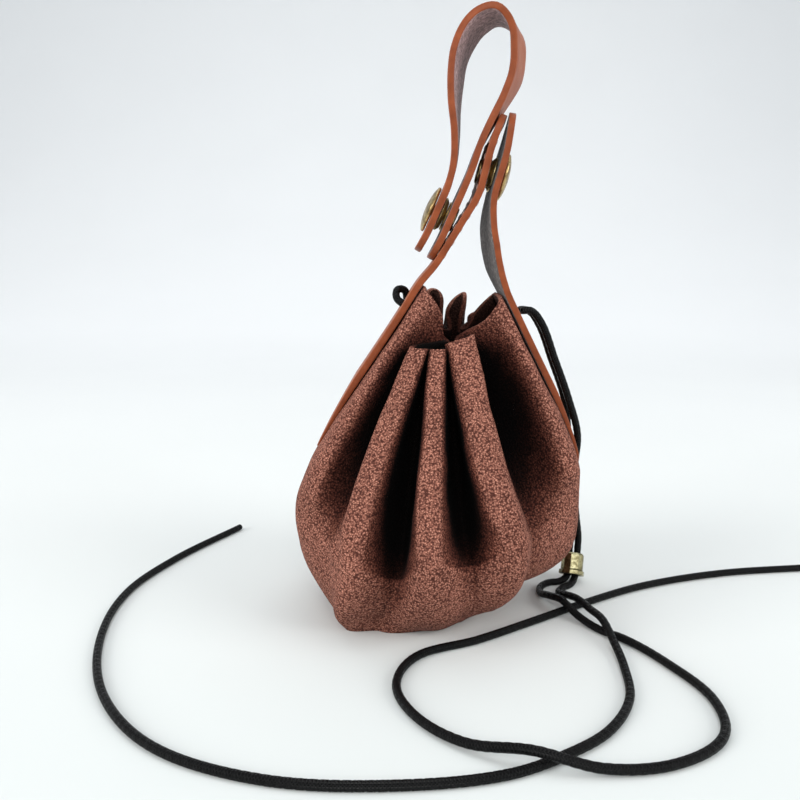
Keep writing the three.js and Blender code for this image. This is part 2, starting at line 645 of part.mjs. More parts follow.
const punchLow = -SNAP_OUTSIDE - SNAP_PUNCH_MARGIN;
const capPunch = (frame) => snapPunch(frame, SNAP_POST_RADIUS + SNAP_HOLE_CLEARANCE, punchLow, 0);
const studPunch = (frame) => snapPunch(frame, SNAP_RIVET_POST_RADIUS + SNAP_HOLE_CLEARANCE, 0, -punchLow);

// A cord's route takes one step at each of its points
class CordRoute extends THREE.CatmullRomCurve3 {
  getPointAt(share, target) {
    return this.getPoint(share, target);
  }

  getTangentAt(share, target) {
    return this.getTangent(share, target);
  }
}

function cord(route, radius) {
  const corners = Array.from({ length: CORD_SIDES }, (_, k) => {
    const angle = ((k + 0.5) * 2 * Math.PI) / CORD_SIDES;
    return new THREE.Vector2(radius * Math.cos(angle), radius * Math.sin(angle));
  });
  const path = new CordRoute(route.map(vector));
  const options = { steps: route.length - 1, extrudePath: path, bevelEnabled: false };
  return welded(new THREE.ExtrudeGeometry(new THREE.Shape(corners), options));
}

function cordStop() {
  const low = -STOP_LENGTH / 2;
  const high = STOP_LENGTH / 2;
  return turned([
    [STOP_BORE, low],
    [STOP_RADIUS - STOP_SHOULDER / 2, low],
    [STOP_RADIUS, low + STOP_SHOULDER],
    [STOP_RADIUS, high - STOP_FLANGE_LENGTH],
    [STOP_FLANGE_RADIUS, high - STOP_FLANGE_LENGTH],
    [STOP_FLANGE_RADIUS, high],
    [STOP_BORE, high],
    [STOP_BORE, low],
  ], STOP_SIDES);
}

const bag = new THREE.Group();

function addPiece(name, geometry, finish, parent = bag) {
  const material = new THREE.MeshStandardMaterial(finish);
  const mesh = new THREE.Mesh(geometry, material);
  mesh.name = name;
  parent.add(mesh);
  return mesh;
}

const beltFrame = snapFrame(BELT_SNAP);
const closureFrame = snapFrame(CLOSURE_SNAP);
const cordPunch = cord(GATHER_ROUTE, CORD_RADIUS + CORD_HOLE_CLEARANCE);

addPiece('bag_body', cutBy(bagWall(), [cordPunch]), SUEDE);

const leftTop = [...LEFT_STRAP_RISE, ...snapSections(CLOSURE_SNAP, 1), LEFT_STRAP_END];
const leftStrap = strip(strapSections(RIDGES[LEFT_FOLD], -1, LEFT_STRAP_LOW_END, leftTop), 1);
addPiece('strap_left', cutBy(leftStrap, [cordPunch, studPunch(closureFrame)]), TAN_LEATHER);

const rightTop = [...RIGHT_STRAP_RISE, ...snapSections(CLOSURE_SNAP, -1), RIGHT_STRAP_END];
const rightStrap = strip(strapSections(RIDGES[RIGHT_FOLD], 1, RIGHT_STRAP_LOW_END, rightTop), -1);
addPiece('strap_right', cutBy(rightStrap, [cordPunch, capPunch(closureFrame)]), TAN_LEATHER);

const beltLoop = strip(loopSections(), 0);
addPiece('belt_loop', cutBy(beltLoop, [capPunch(beltFrame), studPunch(beltFrame)]), TAN_LEATHER);

[['belt_snap', beltFrame], ['closure_snap', closureFrame]].forEach(([name, frame]) => {
  bag.add(frame);
  addPiece(`${name}_cap`, snapCap(), BRASS, frame);
  addPiece(`${name}_socket`, snapSocket(), BRASS, frame);
  addPiece(`${name}_stud`, snapStud(), BRASS, frame);
});

addPiece('drawstring_gather', cord(GATHER_ROUTE, CORD_RADIUS), WAXED_CORD);
addPiece('drawstring_end_a', cord(END_A_ROUTE, CORD_RADIUS), WAXED_CORD);
addPiece('drawstring_end_b', cord(END_B_ROUTE, CORD_RADIUS), WAXED_CORD);

const stop = addPiece('cord_stop', cordStop(), BRASS);
stop.position.copy(STOP_CENTRE);
stop.quaternion.setFromUnitVectors(new THREE.Vector3(0, 0, 1), STOP_AXIS);

export default bag;
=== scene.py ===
from collections import namedtuple
from math import copysign, cos, hypot, pi, radians, sin, sqrt

import bmesh
import bpy
from mathutils import Matrix, Vector, noise
from mathutils.bvhtree import BVHTree
from mathutils.geometry import interpolate_bezier


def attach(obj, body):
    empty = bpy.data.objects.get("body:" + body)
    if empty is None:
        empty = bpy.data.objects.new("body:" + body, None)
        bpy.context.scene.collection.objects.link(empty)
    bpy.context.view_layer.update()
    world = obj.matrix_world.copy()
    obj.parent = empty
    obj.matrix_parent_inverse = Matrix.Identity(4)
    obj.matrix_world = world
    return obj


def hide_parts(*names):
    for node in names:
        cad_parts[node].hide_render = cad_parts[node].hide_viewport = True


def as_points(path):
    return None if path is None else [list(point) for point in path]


# Small gathered leather dice bag with a snapped belt loop, in metres.
# The origin is the middle of the base, on the floor. +X is right, +Y is back, +Z is up.
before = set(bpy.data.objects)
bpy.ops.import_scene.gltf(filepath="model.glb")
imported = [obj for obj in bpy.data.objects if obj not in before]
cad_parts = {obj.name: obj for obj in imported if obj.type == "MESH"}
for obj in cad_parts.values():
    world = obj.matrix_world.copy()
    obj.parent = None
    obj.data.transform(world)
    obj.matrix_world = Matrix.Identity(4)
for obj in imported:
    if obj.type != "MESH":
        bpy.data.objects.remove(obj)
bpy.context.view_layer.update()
BODY = "root"

# Smallest length in a division, and distance within which points are merged
TINY = 1e-9
MERGE_REACH = 1e-7

# Camera of the photograph
CAMERA_PLACE = (-0.013, -0.266, 0.116)
CAMERA_PITCH = 9.58
CAMERA_LENS = 36
CAMERA_SENSOR = 36
CAMERA_NEAR = 0.01

# Leather. FLAT_CUT is the diameter of the round piece that the bag is gathered from.
BAG_WALL = 0.0014
STRAP_WIDTH = 0.020
STRAP_THICKNESS = 0.0022
STRAP_CORNER = 0.006
STRAP_EDGE_ROUND = 0.0006
SEAT_GAP = 0.0003
SKIVED_LENGTH = 0.026
SKIVED_THICKNESS = 0.0006
STRAP_EDGE_STEPS = 3
STRIP_STEP = 0.0012
STRIP_FINE = 12
STRIP_COLUMNS = 8
# Edges that turn by more degrees than this are rounded on the straps and split on the snaps
CRISP_ANGLE = 50

# Bag form
MOUTH_CENTRE = Vector((0.0045, 0.0))
VALLEY_HALF_LOW = 0.003
VALLEY_HALF_RIM = 0.0006
BELLY_FOLDED = 0.3
FOLD_FULL = 0.25
UPPER_ROWS = 14
ROW_SPREAD = 1.3
STEPS_ROUND = 4
STEPS_UP = 4
# Rows from the foot to the belly. out, up: share of the way out and up. folded: share of the full fold.
# flat_out, flat_up: the same where the foot is nearly flat and has a sharper corner.
LowRow = namedtuple("LowRow", "out up flat_out flat_up folded")
LOW_ROWS = [
    LowRow(0, 0, 0, 0, 0),
    LowRow(0.47, 0.21, 0.5, 0.19, 0.02),
    LowRow(0.81, 0.52, 0.82, 0.35, 0.08),
    LowRow(0.97, 0.82, 0.965, 0.55, 0.18),
]

# One row a fold, counter-clockwise from above, starting at the right.
# azimuth, azimuth_foot: direction of the ridge at the belly and at the floor.
# foot: its radius at the floor. belly, height: its largest radius and the height there.
# half_low, half_rim: half the fold's width at the belly and at the rim.
# rim: top of the ridge. tilt: slope of the cut top. strapped: a strap lies on the fold.
# flat: how far its foot is flat with a sharp corner, from 0 to 1.
# swing: turn of the ridge just above the belly, in degrees.
RIDGE_FACTS = "azimuth azimuth_foot foot belly height half_low half_rim rim tilt strapped flat swing"
Ridge = namedtuple("Ridge", RIDGE_FACTS, defaults=[0])
RIDGES = [
    Ridge(0, 0, 0.004, 0.0475, 0.040, 0.022, 0.0098, (0.0198, 0, 0.1068), 0.05, True, 1),
    Ridge(56, 52, 0.029, 0.049, 0.033, 0.007, 0.0032, (0.0145, 0.0165, 0.100), 0, False, 0),
    Ridge(90, 90, 0.031, 0.049, 0.031, 0.007, 0.004, (0.007, 0.019, 0.1055), -0.7, False, 0),
    Ridge(124, 128, 0.033, 0.049, 0.031, 0.007, 0.0032, (-0.0015, 0.0172, 0.108), 0, False, 0),
    Ridge(180, 180, 0.034, 0.0485, 0.031, 0.024, 0.0098, (-0.0055, 0, 0.1095), 0, True, 0),
    Ridge(235, 219, 0.0385, 0.0495, 0.027, 0.0058, 0.0031, (-0.0086, -0.020, 0.0907), 0, False, 0),
    Ridge(264, 262, 0.025, 0.0475, 0.030, 0.0052, 0.0025, (-0.0016, -0.021, 0.0904), 0, False, 0),
    Ridge(298, 305, 0.014, 0.048, 0.034, 0.0054, 0.0047, (0.0066, -0.020, 0.0938), 0.25, False, 0, -11),
]
RIGHT_FOLD = RIDGES[0]
LEFT_FOLD = RIDGES[4]

# The valley after each fold. crease, crease_foot: its direction where it starts and at the floor.
# start, inset: height and depth at its start. reach, lift: how far in and up it goes before it climbs.
# deep: where it is furthest in. top: its place at the rim. before, after: how far along the wall
# from the last fold, and to the next fold, the rim has dropped half way.
Valley = namedtuple("Valley", "crease crease_foot start inset reach lift deep top before after")
VALLEYS = [
    Valley(33, 26, 0.030, 0.0025, 0.4, 0.010, (0.017, 0.015), (0.0088, 0.006, 0.095), 0.75, 0.55),
    Valley(73, 70, 0.024, 0.0025, 0.5, 0.005, (0.008, 0.016), (0.009, 0.012, 0.093), 0.55, 0.55),
    Valley(107, 110, 0.024, 0.0025, 0.5, 0.005, (0, 0.015), (0.003, 0.012, 0.094), 0.55, 0.55),
    Valley(147, 154, 0.030, 0.0025, 0.4, 0.010, (-0.013, 0.008), (0, 0.007, 0.097), 0.55, 0.55),
    Valley(220, 205, 0.031, 0.0035, 0.35, 0.012, (-0.014, -0.006), (0.002, -0.0076, 0.0925), 0.95, 0.55),
    Valley(249, 232, 0.022, 0.0095, 0.6, 0.004, (-0.009, -0.008), (-0.0028, -0.0146, 0.0898), 0.55, 0.55),
    Valley(282, 292, 0.027, 0.0085, 0.6, 0.004, (0.005, -0.008), (0.0018, -0.0115, 0.090), 0.55, 0.55),
    Valley(316, 340, 0.034, 0.009, 0.3, 0.016, (0.012, 0.012), (0.0062, -0.0076, 0.0925), 0.55, 0.42),
]
# Height share at which a valley reaches its deepest place
DEEP_RISE = 0.6
# Guide of a ridge: the share of its height that it rises upright, and how far out and down from its top
# it leans. RIDGE_STEP is the step back that gives its direction.
RIDGE_UPRIGHT = 0.25
RIDGE_LEAN_OUT = 0.48
RIDGE_LEAN_DOWN = 0.43
RIDGE_STEP = 0.001
# Soft unevenness of the leather: scale of the noise and its height. It fades out towards the floor.
RIPPLES = [(75, 0.0005), (190, 0.00016)]
RIPPLE_FROM = 0.001
RIPPLE_FULL = 0.012

# Straps and loop: x, z of the middle or near edge, and the turn of the width from +Y towards +X
Section = namedtuple("Section", "x z turn")
STRAP_SEATED_ROWS = 8
LEFT_STRAP_LOW_END = 0.38
RIGHT_STRAP_LOW_END = 0.2
LEFT_STRAP_RISE = [Section(-0.0018, 0.1161, 0), Section(0.002, 0.122, 0), Section(0.0063, 0.129, 0)]
LEFT_STRAP_END = Section(0.02, 0.1624, 5)
RIGHT_STRAP_RISE = [Section(0.018, 0.115, -5), Section(0.0165, 0.122, -6), Section(0.0157, 0.129, -4)]
RIGHT_STRAP_END = Section(0.0227, 0.1629, 5)
LOOP_SNAPPED_END = Section(-0.0074, 0.1206, 0)
LOOP_SEWN_END = Section(-0.0033, 0.118, 0)
LOOP_SECTIONS = [
    Section(0.0036, 0.1475, 3), Section(0.0037, 0.157, 6), Section(0.0026, 0.166, 10),
    Section(0.0024, 0.174, 13), Section(0.0033, 0.181, 14), Section(0.006, 0.1873, 16),
    Section(0.0098, 0.191, 16), Section(0.014, 0.1924, 17), Section(0.0178, 0.1909, 17),
    Section(0.0206, 0.1872, 17), Section(0.0214, 0.1815, 16), Section(0.0211, 0.175, 14),
    Section(0.0187, 0.1675, 8), Section(0.0152, 0.1603, 4), Section(0.0119, 0.153, 2),
    Section(0.0094, 0.1456, 1),
]

# Snaps: axis point midway between the two leathers, and slope of the way from the cap to the stud
Snap = namedtuple("Snap", "x z slope")
BELT_SNAP = Snap(0.00095, 0.132, -24)
CLOSURE_SNAP = Snap(0.01595, 0.1448, 165)
SNAP_GAP = 0.0026
SNAP_FLAT = 0.0075
SNAP_CAP_RADIUS = 0.0075
SNAP_CAP_DOME = 0.0024
SNAP_CAP_LIP = 0.0006
SNAP_SOCKET_RADIUS = 0.0055
SNAP_SOCKET_THICKNESS = 0.0015
SNAP_STUD_RADIUS = 0.0048
SNAP_STUD_DISC = 0.0005
SNAP_RIVET_RADIUS = 0.004
SNAP_RIVET_DISC = 0.0006
SNAP_POST_RADIUS = 0.0019
SNAP_RIVET_POST_RADIUS = 0.0015
SNAP_CLEARANCE = 0.0002
SNAP_STEPS = 48
CAP_DOME_STEPS = 10
CAP_DOME_SHARE = 0.94
CAP_DOME_SEAT = 1.7
CAP_DOME_POWER = 1.4
CAP_LIP_STEPS = 8
# Direction in which the lip starts, and how far it curls, in degrees
CAP_LIP_FROM = 110
CAP_LIP_TURN = 200
SOCKET_BORE_GAP = 0.0005
SOCKET_RIM_SHARE = 0.8
# Heights along a snap's axis, from the middle of the gap between the leathers
SNAP_FACE = SNAP_GAP / 2
SNAP_OUTSIDE = SNAP_FACE + STRAP_THICKNESS + SNAP_CLEARANCE
SOCKET_LOW = -SNAP_FACE + SNAP_CLEARANCE
SOCKET_HIGH = SOCKET_LOW + SNAP_SOCKET_THICKNESS
STUD_LOW = SNAP_FACE - SNAP_CLEARANCE - SNAP_STUD_DISC

# Drawstring. A point of a route with two numbers lies on the floor.
CORD_RADIUS = 0.00125
CORD_FINE = 24
CORD_SIDES = 20
CORD_STEP = 0.0005
BRAID_STRANDS = 5
BRAID_PITCH = 0.0042
BRAID_RELIEF = 0.08
BRAID_MEAN = 0.6
GATHER_ROUTE = [
    (0.0262, -0.0026, 0.1013), (0.021, -0.0026, 0.1004), (0.0176, -0.0028, 0.0955),
    (0.0122, -0.0036, 0.09), (0.0096, -0.009, 0.0866), (0.0065, -0.0142, 0.0856),
    (0.002, -0.0156, 0.0854), (-0.002, -0.0158, 0.0854), (-0.0054, -0.0134, 0.0856),
    (-0.0064, -0.0088, 0.0864), (-0.0076, -0.004, 0.09), (-0.009, -0.0028, 0.0965),
    (-0.0106, -0.0032, 0.1026), (-0.0122, -0.003, 0.1036), (-0.0141, -0.0012, 0.1054),
    (-0.0137, 0.0012, 0.108), (-0.0114, 0.0028, 0.1076), (-0.0106, 0.0032, 0.1026),
    (-0.009, 0.0032, 0.0965), (-0.0082, 0.0062, 0.0905), (-0.005, 0.0108, 0.088),
    (0.001, 0.0142, 0.0875), (0.008, 0.0146, 0.0875), (0.0135, 0.0112, 0.089),
    (0.0172, 0.0056, 0.0945), (0.021, 0.0026, 0.1004), (0.0262, 0.0026, 0.1013),
]
END_A_ROUTE = [
    (0.0266, 0.0026, 0.1013), (0.0299, 0.0026, 0.101), (0.0332, 0.0034, 0.0972),
    (0.0386, 0.0054, 0.0845), (0.044, 0.0084, 0.0705), (0.0466, 0.0123, 0.057),
    (0.0474, 0.016, 0.045), (0.0484, 0.0196, 0.034), (0.0498, 0.0222, 0.024),
    (0.051, 0.0222, 0.0155), (0.0505, 0.0204, 0.0102), (0.04984, 0.0185, 0.0061),
    (0.049, 0.0162, 0.0024), (0.046, 0.0135), (0.0415, 0.012), (0.0378, 0.008),
    (0.0368, 0.002, 0.0016), (0.0384, -0.005, 0.0036), (0.0415, -0.011, 0.0046), (0.0455, -0.018, 0.0022),
    (0.0505, -0.026), (0.057, -0.033), (0.065, -0.048), (0.071, -0.068), (0.067, -0.085), (0.052, -0.096),
    (0.034, -0.099, 0.002), (0.018, -0.096, 0.0046), (0.003, -0.089, 0.002), (-0.009, -0.076),
    (-0.014, -0.06), (-0.008, -0.044), (0.011, -0.0335), (0.03, -0.0205), (0.049, -0.007),
    (0.075, 0.009), (0.108, 0.021), (0.145, 0.027),
]
END_B_ROUTE = [
    (0.0266, -0.0026, 0.1013), (0.0299, -0.0024, 0.1012), (0.0333, -0.001, 0.0978),
    (0.0392, 0.002, 0.0845), (0.0449, 0.0048, 0.0705), (0.0495, 0.0098, 0.057),
    (0.0498, 0.0136, 0.045), (0.0506, 0.0166, 0.034), (0.0524, 0.0196, 0.024),
    (0.0538, 0.0212, 0.0155), (0.05325, 0.0194, 0.0102), (0.05256, 0.0175, 0.0061),
    (0.0517, 0.0152, 0.0024), (0.0495, 0.011), (0.0455, 0.007), (0.0432, 0.002, 0.0018),
    (0.044, -0.004, 0.0036), (0.047, -0.01, 0.0046), (0.0495, -0.017, 0.0042), (0.0515, -0.026, 0.0046),
    (0.0525, -0.037, 0.0022), (0.052, -0.05), (0.0485, -0.068), (0.039, -0.083), (0.026, -0.093),
    (0.012, -0.1), (-0.014, -0.104), (-0.044, -0.102), (-0.072, -0.09), (-0.092, -0.068),
    (-0.106, -0.034), (-0.11, 0.004), (-0.102, 0.036), (-0.084, 0.075),
]

# Cord stop
STOP_CENTRE = Vector((0.0512, 0.018, 0.0061))
STOP_AXIS = Vector((-0.15, -0.42, -0.895)).normalized()
STOP_LENGTH = 0.008
STOP_BORE = 0.0032
STOP_RADIUS = 0.0041
STOP_FLANGE_RADIUS = 0.0047
STOP_FLANGE_LENGTH = 0.0016
STOP_SIDES = 10
STOP_EDGE_ROUND = 0.00025
STOP_EDGE_STEPS = 2
STOP_CRISP_ANGLE = 20
STOP_CHAMFER_RADIUS = 0.0004
STOP_CHAMFER_LENGTH = 0.0007
STOP_GROOVE = 0.0003

# Seam stitches on the left strap
STITCH_SPACING = 0.0037
STITCH_LENGTH = 0.0022
STITCH_THICKNESS = 0.00035
STITCH_HEIGHT = 0.8 * STITCH_THICKNESS
STITCH_SIDES = 10
STITCH_RINGS = 6
STITCH_INSET = 0.0024
STITCH_SLANT = 22
SEAM_LOW = 0.119
SEAM_HIGH = 0.157

# Colours. Suede: light crowns, middle, dark between them. Flesh side: dark, middle and light fibres.
# Brass: patina, middle, worn.
OUTER_SUEDE = [(0.62, 0.3, 0.215, 1), (0.26, 0.102, 0.071, 1), (0.065, 0.021, 0.015, 1)]
CUT_SUEDE = [(0.42, 0.2, 0.14, 1), (0.32, 0.14, 0.1, 1), (0.18, 0.07, 0.05, 1)]
# The inner suede is a darker copy of the outer suede: painted shade inside the bag
INNER_SUEDE_PAINTED_SHADE = [(0.12, 0.058, 0.044, 1), (0.065, 0.03, 0.023, 1), (0.03, 0.012, 0.01, 1)]
ROSY_FLESH = [(0.08, 0.046, 0.044, 1), (0.25, 0.15, 0.145, 1), (0.5, 0.33, 0.32, 1)]
GREY_FLESH = [(0.025, 0.021, 0.02, 1), (0.1, 0.085, 0.08, 1), (0.26, 0.23, 0.22, 1)]
ANTIQUE_BRASS = [(0.13, 0.085, 0.035, 1), (0.37, 0.255, 0.11, 1), (0.58, 0.43, 0.2, 1)]
PALE_BRASS = [(0.08, 0.07, 0.035, 1), (0.26, 0.23, 0.12, 1), (0.5, 0.47, 0.29, 1)]
# Socket brass, lighter than the rest: a painted highlight on the sockets
HIGHLIGHT_BRASS = [(0.42, 0.3, 0.11, 1), (0.66, 0.5, 0.22, 1), (0.85, 0.68, 0.36, 1)]


def mix(a, b, share):
    return a + (b - a) * share


def smoothstep(value, low, high):
    share = min(max((value - low) / (high - low), 0), 1)
    return share * share * (3 - 2 * share)


# Camera
def photo_camera():
    data = bpy.data.cameras.new("photo_camera")
    data.lens = CAMERA_LENS
    data.sensor_width = CAMERA_SENSOR
    data.clip_start = CAMERA_NEAR
    camera = bpy.data.objects.new("photo_camera", data)
    camera.location = CAMERA_PLACE
    camera.rotation_euler = (radians(90 - CAMERA_PITCH), 0, 0)
    bpy.context.scene.collection.objects.link(camera)
    bpy.context.scene.camera = camera


# A shader graph under construction
class Finish:
    def __init__(self, name):
        self.material = bpy.data.materials.new(name)
        self.material.use_nodes = True
        self.tree = self.material.node_tree
        self.shader = self.tree.nodes["Principled BSDF"]
        self.place = self.node("ShaderNodeTexCoord").outputs

    # A socket takes a constant, or a link from another socket
    def feed(self, socket, value):
        if isinstance(value, bpy.types.NodeSocket):
            self.tree.links.new(value, socket)
        else:
            socket.default_value = value

    def node(self, kind, inputs=None, **settings):
        made = self.tree.nodes.new(kind)
        for key, value in settings.items():
            setattr(made, key, value)
        for key, value in (inputs or {}).items():
            self.feed(made.inputs[key], value)
        return made

    def set(self, **values):
        for key, value in values.items():
            self.feed(self.shader.inputs[key.replace("_", " ")], value)

    def noise(self, scale, detail, roughness=0.5):
        inputs = {"Scale": scale, "Detail": detail, "Roughness": roughness}
        made = self.node("ShaderNodeTexNoise", {"Vector": self.place["Object"], **inputs})
        return made.outputs["Fac"]

    def ramp(self, source, stops):
        made = self.node("ShaderNodeValToRGB", {"Fac": source})
        elements = made.color_ramp.elements
        while len(elements) < len(stops):
            elements.new(1)
        for element, (position, colour) in zip(elements, stops):
            element.position = position
            element.color = colour
        return made.outputs["Color"]

    def multiply(self, first, second, amount=1):
        inputs = {"Factor": amount, "A": first, "B": second}
        made = self.node("ShaderNodeMix", inputs, data_type="RGBA", blend_type="MULTIPLY")
        return made.outputs["Result"]

    def math(self, operation, first, second=0):
        return self.node("ShaderNodeMath", {0: first, 1: second}, operation=operation).outputs["Value"]

    def bump(self, height, strength, distance, under=None):
        inputs = {"Height": height, "Strength": strength, "Distance": distance}
        if under is not None:
            inputs["Normal"] = under
        return self.node("ShaderNodeBump", inputs).outputs["Normal"]


def grey(value):
    return (value, value, value, 1)


# Brown sueded leather with a fine pebbled grain, and painted shade deep in the folds
FOLD_SHADE = "fold_shade"
PEBBLE_WANDER = 0.0005


def pebbled_suede(name, light, middle, dark):
    finish = Finish(name)
    wander = finish.noise(scale=700, detail=2).node.outputs["Color"]
    inputs = {0: wander, 1: [PEBBLE_WANDER] * 3, 2: finish.place["Object"]}
    moved = finish.node("ShaderNodeVectorMath", inputs, operation="MULTIPLY_ADD")
    inputs = {"Vector": moved.outputs["Vector"], "Scale": 1700, "Smoothness": 0.5}
    pebbles = finish.node("ShaderNodeTexVoronoi", inputs, feature="SMOOTH_F1").outputs["Distance"]
    crowns = finish.ramp(pebbles, [(0.06, light), (0.34, middle), (0.7, dark)])
    patches = finish.noise(scale=1200, detail=3)
    spots = finish.ramp(patches, [(0.32, grey(0.8)), (0.52, grey(0.98)), (0.7, grey(1.25))])
    speckled = finish.multiply(crowns, spots, 0.8)
    broad = finish.noise(scale=38, detail=3)
    clouds = finish.ramp(broad, [(0.3, grey(0.86)), (0.7, grey(1.1))])
    clouded = finish.multiply(speckled, clouds)
    # Painted shade: the fold_shade attribute darkens the colour in the folds and lightens it a little on
    # open crowns
    depth = finish.node("ShaderNodeAttribute", attribute_name=FOLD_SHADE)
    shade = finish.ramp(depth.outputs["Fac"], [
        (0.08, grey(1.12)),
        (0.28, (0.57, 0.48, 0.45, 1)),
        (0.5, (0.28, 0.195, 0.18, 1)),
        (0.76, (0.09, 0.058, 0.05, 1)),
        (0.92, (0.008, 0.005, 0.004, 1)),
    ])
    grain = finish.bump(finish.math("SUBTRACT", 1.0, pebbles), strength=0.7, distance=0.0005)
    nap = finish.noise(scale=4200, detail=2)
    finish.set(
        Base_Color=finish.multiply(clouded, shade),
        Normal=finish.bump(nap, strength=0.3, distance=0.00015, under=grain),
        Roughness=0.9,
        Specular_IOR_Level=0.12,
    )
    return finish.material


# Smooth tan strap leather, its grain side
def tan_leather():
    finish = Finish("tan_leather_grain")
    tone = finish.ramp(finish.noise(scale=55, detail=4), [
        (0.3, (0.24, 0.06, 0.022, 1)),
        (0.55, (0.31, 0.086, 0.034, 1)),
        (0.75, (0.37, 0.115, 0.05, 1)),
    ])
    pores = finish.noise(scale=2600, detail=3)
    specks = finish.ramp(pores, [(0.35, grey(0.8)), (0.6, grey(1.0))])
    wear = finish.noise(scale=140, detail=3)
    creases = finish.noise(scale=700, detail=4)
    fine = finish.bump(pores, strength=0.25, distance=0.00012)
    finish.set(
        Base_Color=finish.multiply(tone, specks, 0.7),
        Roughness=finish.ramp(wear, [(0.3, grey(0.44)), (0.7, grey(0.6))]),
        Normal=finish.bump(creases, strength=0.2, distance=0.0002, under=fine),
        Specular_IOR_Level=0.3,
    )
    return finish.material


# The painted cut edge of the straps
def painted_edge():
    finish = Finish("tan_leather_edge")
    tone = finish.ramp(finish.noise(scale=220, detail=4), [
        (0.3, (0.17, 0.035, 0.008, 1)),
        (0.6, (0.235, 0.052, 0.014, 1)),
        (0.8, (0.3, 0.072, 0.022, 1)),
    ])
    lumps = finish.bump(finish.noise(scale=900, detail=3), strength=0.2, distance=0.0002)
    finish.set(Base_Color=tone, Normal=lumps, Roughness=0.42, Specular_IOR_Level=0.25)
    return finish.material


# The rough flesh side of the strap leather
def flesh_side(name, dark, middle, light):
    finish = Finish(name)
    fibres = finish.noise(scale=800, detail=4, roughness=0.7)
    tone = finish.ramp(fibres, [(0.3, dark), (0.5, middle), (0.72, light)])
    clouds = finish.noise(scale=90, detail=3)
    shade = finish.ramp(clouds, [(0.3, grey(0.8)), (0.7, grey(1.1))])
    finish.set(
        Base_Color=finish.multiply(tone, shade),
        Normal=finish.bump(fibres, strength=0.5, distance=0.0004),
        Roughness=0.85,
        Specular_IOR_Level=0.25,
        Sheen_Weight=0.15,
    )
    return finish.material


# Antique brass: bright where it is worn, dark in the patches of patina
def antique_brass(name, patina_tone, middle, worn):
    finish = Finish(name)
    patina = finish.noise(scale=420, detail=5, roughness=0.6)
    scratches = finish.noise(scale=1900, detail=3)
    finish.set(
        Base_Color=finish.ramp(patina, [(0.34, patina_tone), (0.5, middle), (0.68, worn)]),
        Roughness=finish.ramp(patina, [(0.35, grey(0.46)), (0.65, grey(0.24))]),
        Normal=finish.bump(scratches, strength=0.12, distance=0.0001),
        Metallic=1.0,
    )
    return finish.material


# Black waxed cord: strands cross each other in a fine diagonal braid along the cord's own UV map
def waxed_braid():
    finish = Finish("waxed_braid")
    split = finish.node("ShaderNodeSeparateXYZ", {"Vector": finish.place["UV"]}).outputs
    turns = finish.math("MULTIPLY", split["X"], 2 * pi * BRAID_STRANDS)
    along = finish.math("MULTIPLY", split["Y"], 2 * pi * BRAID_STRANDS / BRAID_PITCH)
    right = finish.math("SINE", finish.math("ADD", turns, along))
    left = finish.math("SINE", finish.math("SUBTRACT", turns, along))
    strands = finish.math("MAXIMUM", right, left)
    weave = finish.bump(strands, strength=0.9, distance=0.00012)
    fibres = finish.noise(scale=4200, detail=2)
    black = [(0.2, grey(0.0008)), (0.7, grey(0.002)), (1.0, (0.005, 0.005, 0.0055, 1))]
    finish.set(
        Base_Color=finish.ramp(strands, black),
        Normal=finish.bump(fibres, strength=0.3, distance=0.0001, under=weave),
        Roughness=0.24,
        Specular_IOR_Level=0.12,
    )
    return finish.material


# Cream thread of the seam
def seam_thread():
    finish = Finish("seam_thread")
    twist = finish.noise(scale=2400, detail=2)
    tone = finish.ramp(twist, [(0.3, (0.5, 0.3, 0.24, 1)), (0.7, (0.78, 0.58, 0.5, 1))])
    finish.set(Base_Color=tone, Normal=finish.bump(twist, strength=0.4, distance=0.0002), Roughness=0.6)
    return finish.material


# Making a finished piece of the bag from a mesh under construction
def finished(name, bm, *materials):
    mesh = bpy.data.meshes.new(name)
    for face in bm.faces:
        face.smooth = True
    bm.to_mesh(mesh)
    bm.free()
    for material in materials:
        mesh.materials.append(material)
    piece = bpy.data.objects.new(name, mesh)
    bpy.context.scene.collection.objects.link(piece)
    return piece


def modify(piece, name, kind, **settings):
    modifier = piece.modifiers.new(name, kind)
    for key, value in settings.items():
        setattr(modifier, key, value)


def on_bag(piece, slot, *nodes):
    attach(piece, BODY)
    if nodes:
        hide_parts(*nodes)
    return piece


# Points of a smooth curve through given points, a fixed number of steps to each span
def smooth_curve(points, steps, closed=False):
    count = len(points)
    directions = []
    for i, point in enumerate(points):
        after = points[(i + 1) % count] if closed else points[min(i + 1, count - 1)]
        before = points[(i - 1) % count] if closed else points[max(i - 1, 0)]
        directions.append(((after - point).normalized() + (point - before).normalized()).normalized())
    fine = []
    spans = count if closed else count - 1
    for i in range(spans):
        start = points[i]
        end = points[(i + 1) % count]
        reach = (end - start).length / 3
        leave = start + directions[i] * reach
        arrive = end - directions[(i + 1) % count] * reach
        fine += interpolate_bezier(start, leave, arrive, end, steps + 1)[:-1]
    if not closed:
        fine.append(points[-1].copy())
    return fine


# Evenly spaced points along a curve. A fourth number of a point is carried along and has no length.
def even_points(curve, step):
    lengths = [0]
    for start, end in zip(curve, curve[1:]):
        lengths.append(lengths[-1] + (end - start).to_3d().length)
    count = round(lengths[-1] / step)
    points = []
    span = 0
    for k in range(count + 1):
        distance = lengths[-1] * k / count
        while span < len(curve) - 2 and lengths[span + 1] < distance:
            span += 1
        share = (distance - lengths[span]) / max(lengths[span + 1] - lengths[span], TINY)
        points.append(curve[span].lerp(curve[span + 1], share))
    return points


def length_of(points):
    return sum((end - start).length for start, end in zip(points, points[1:]))


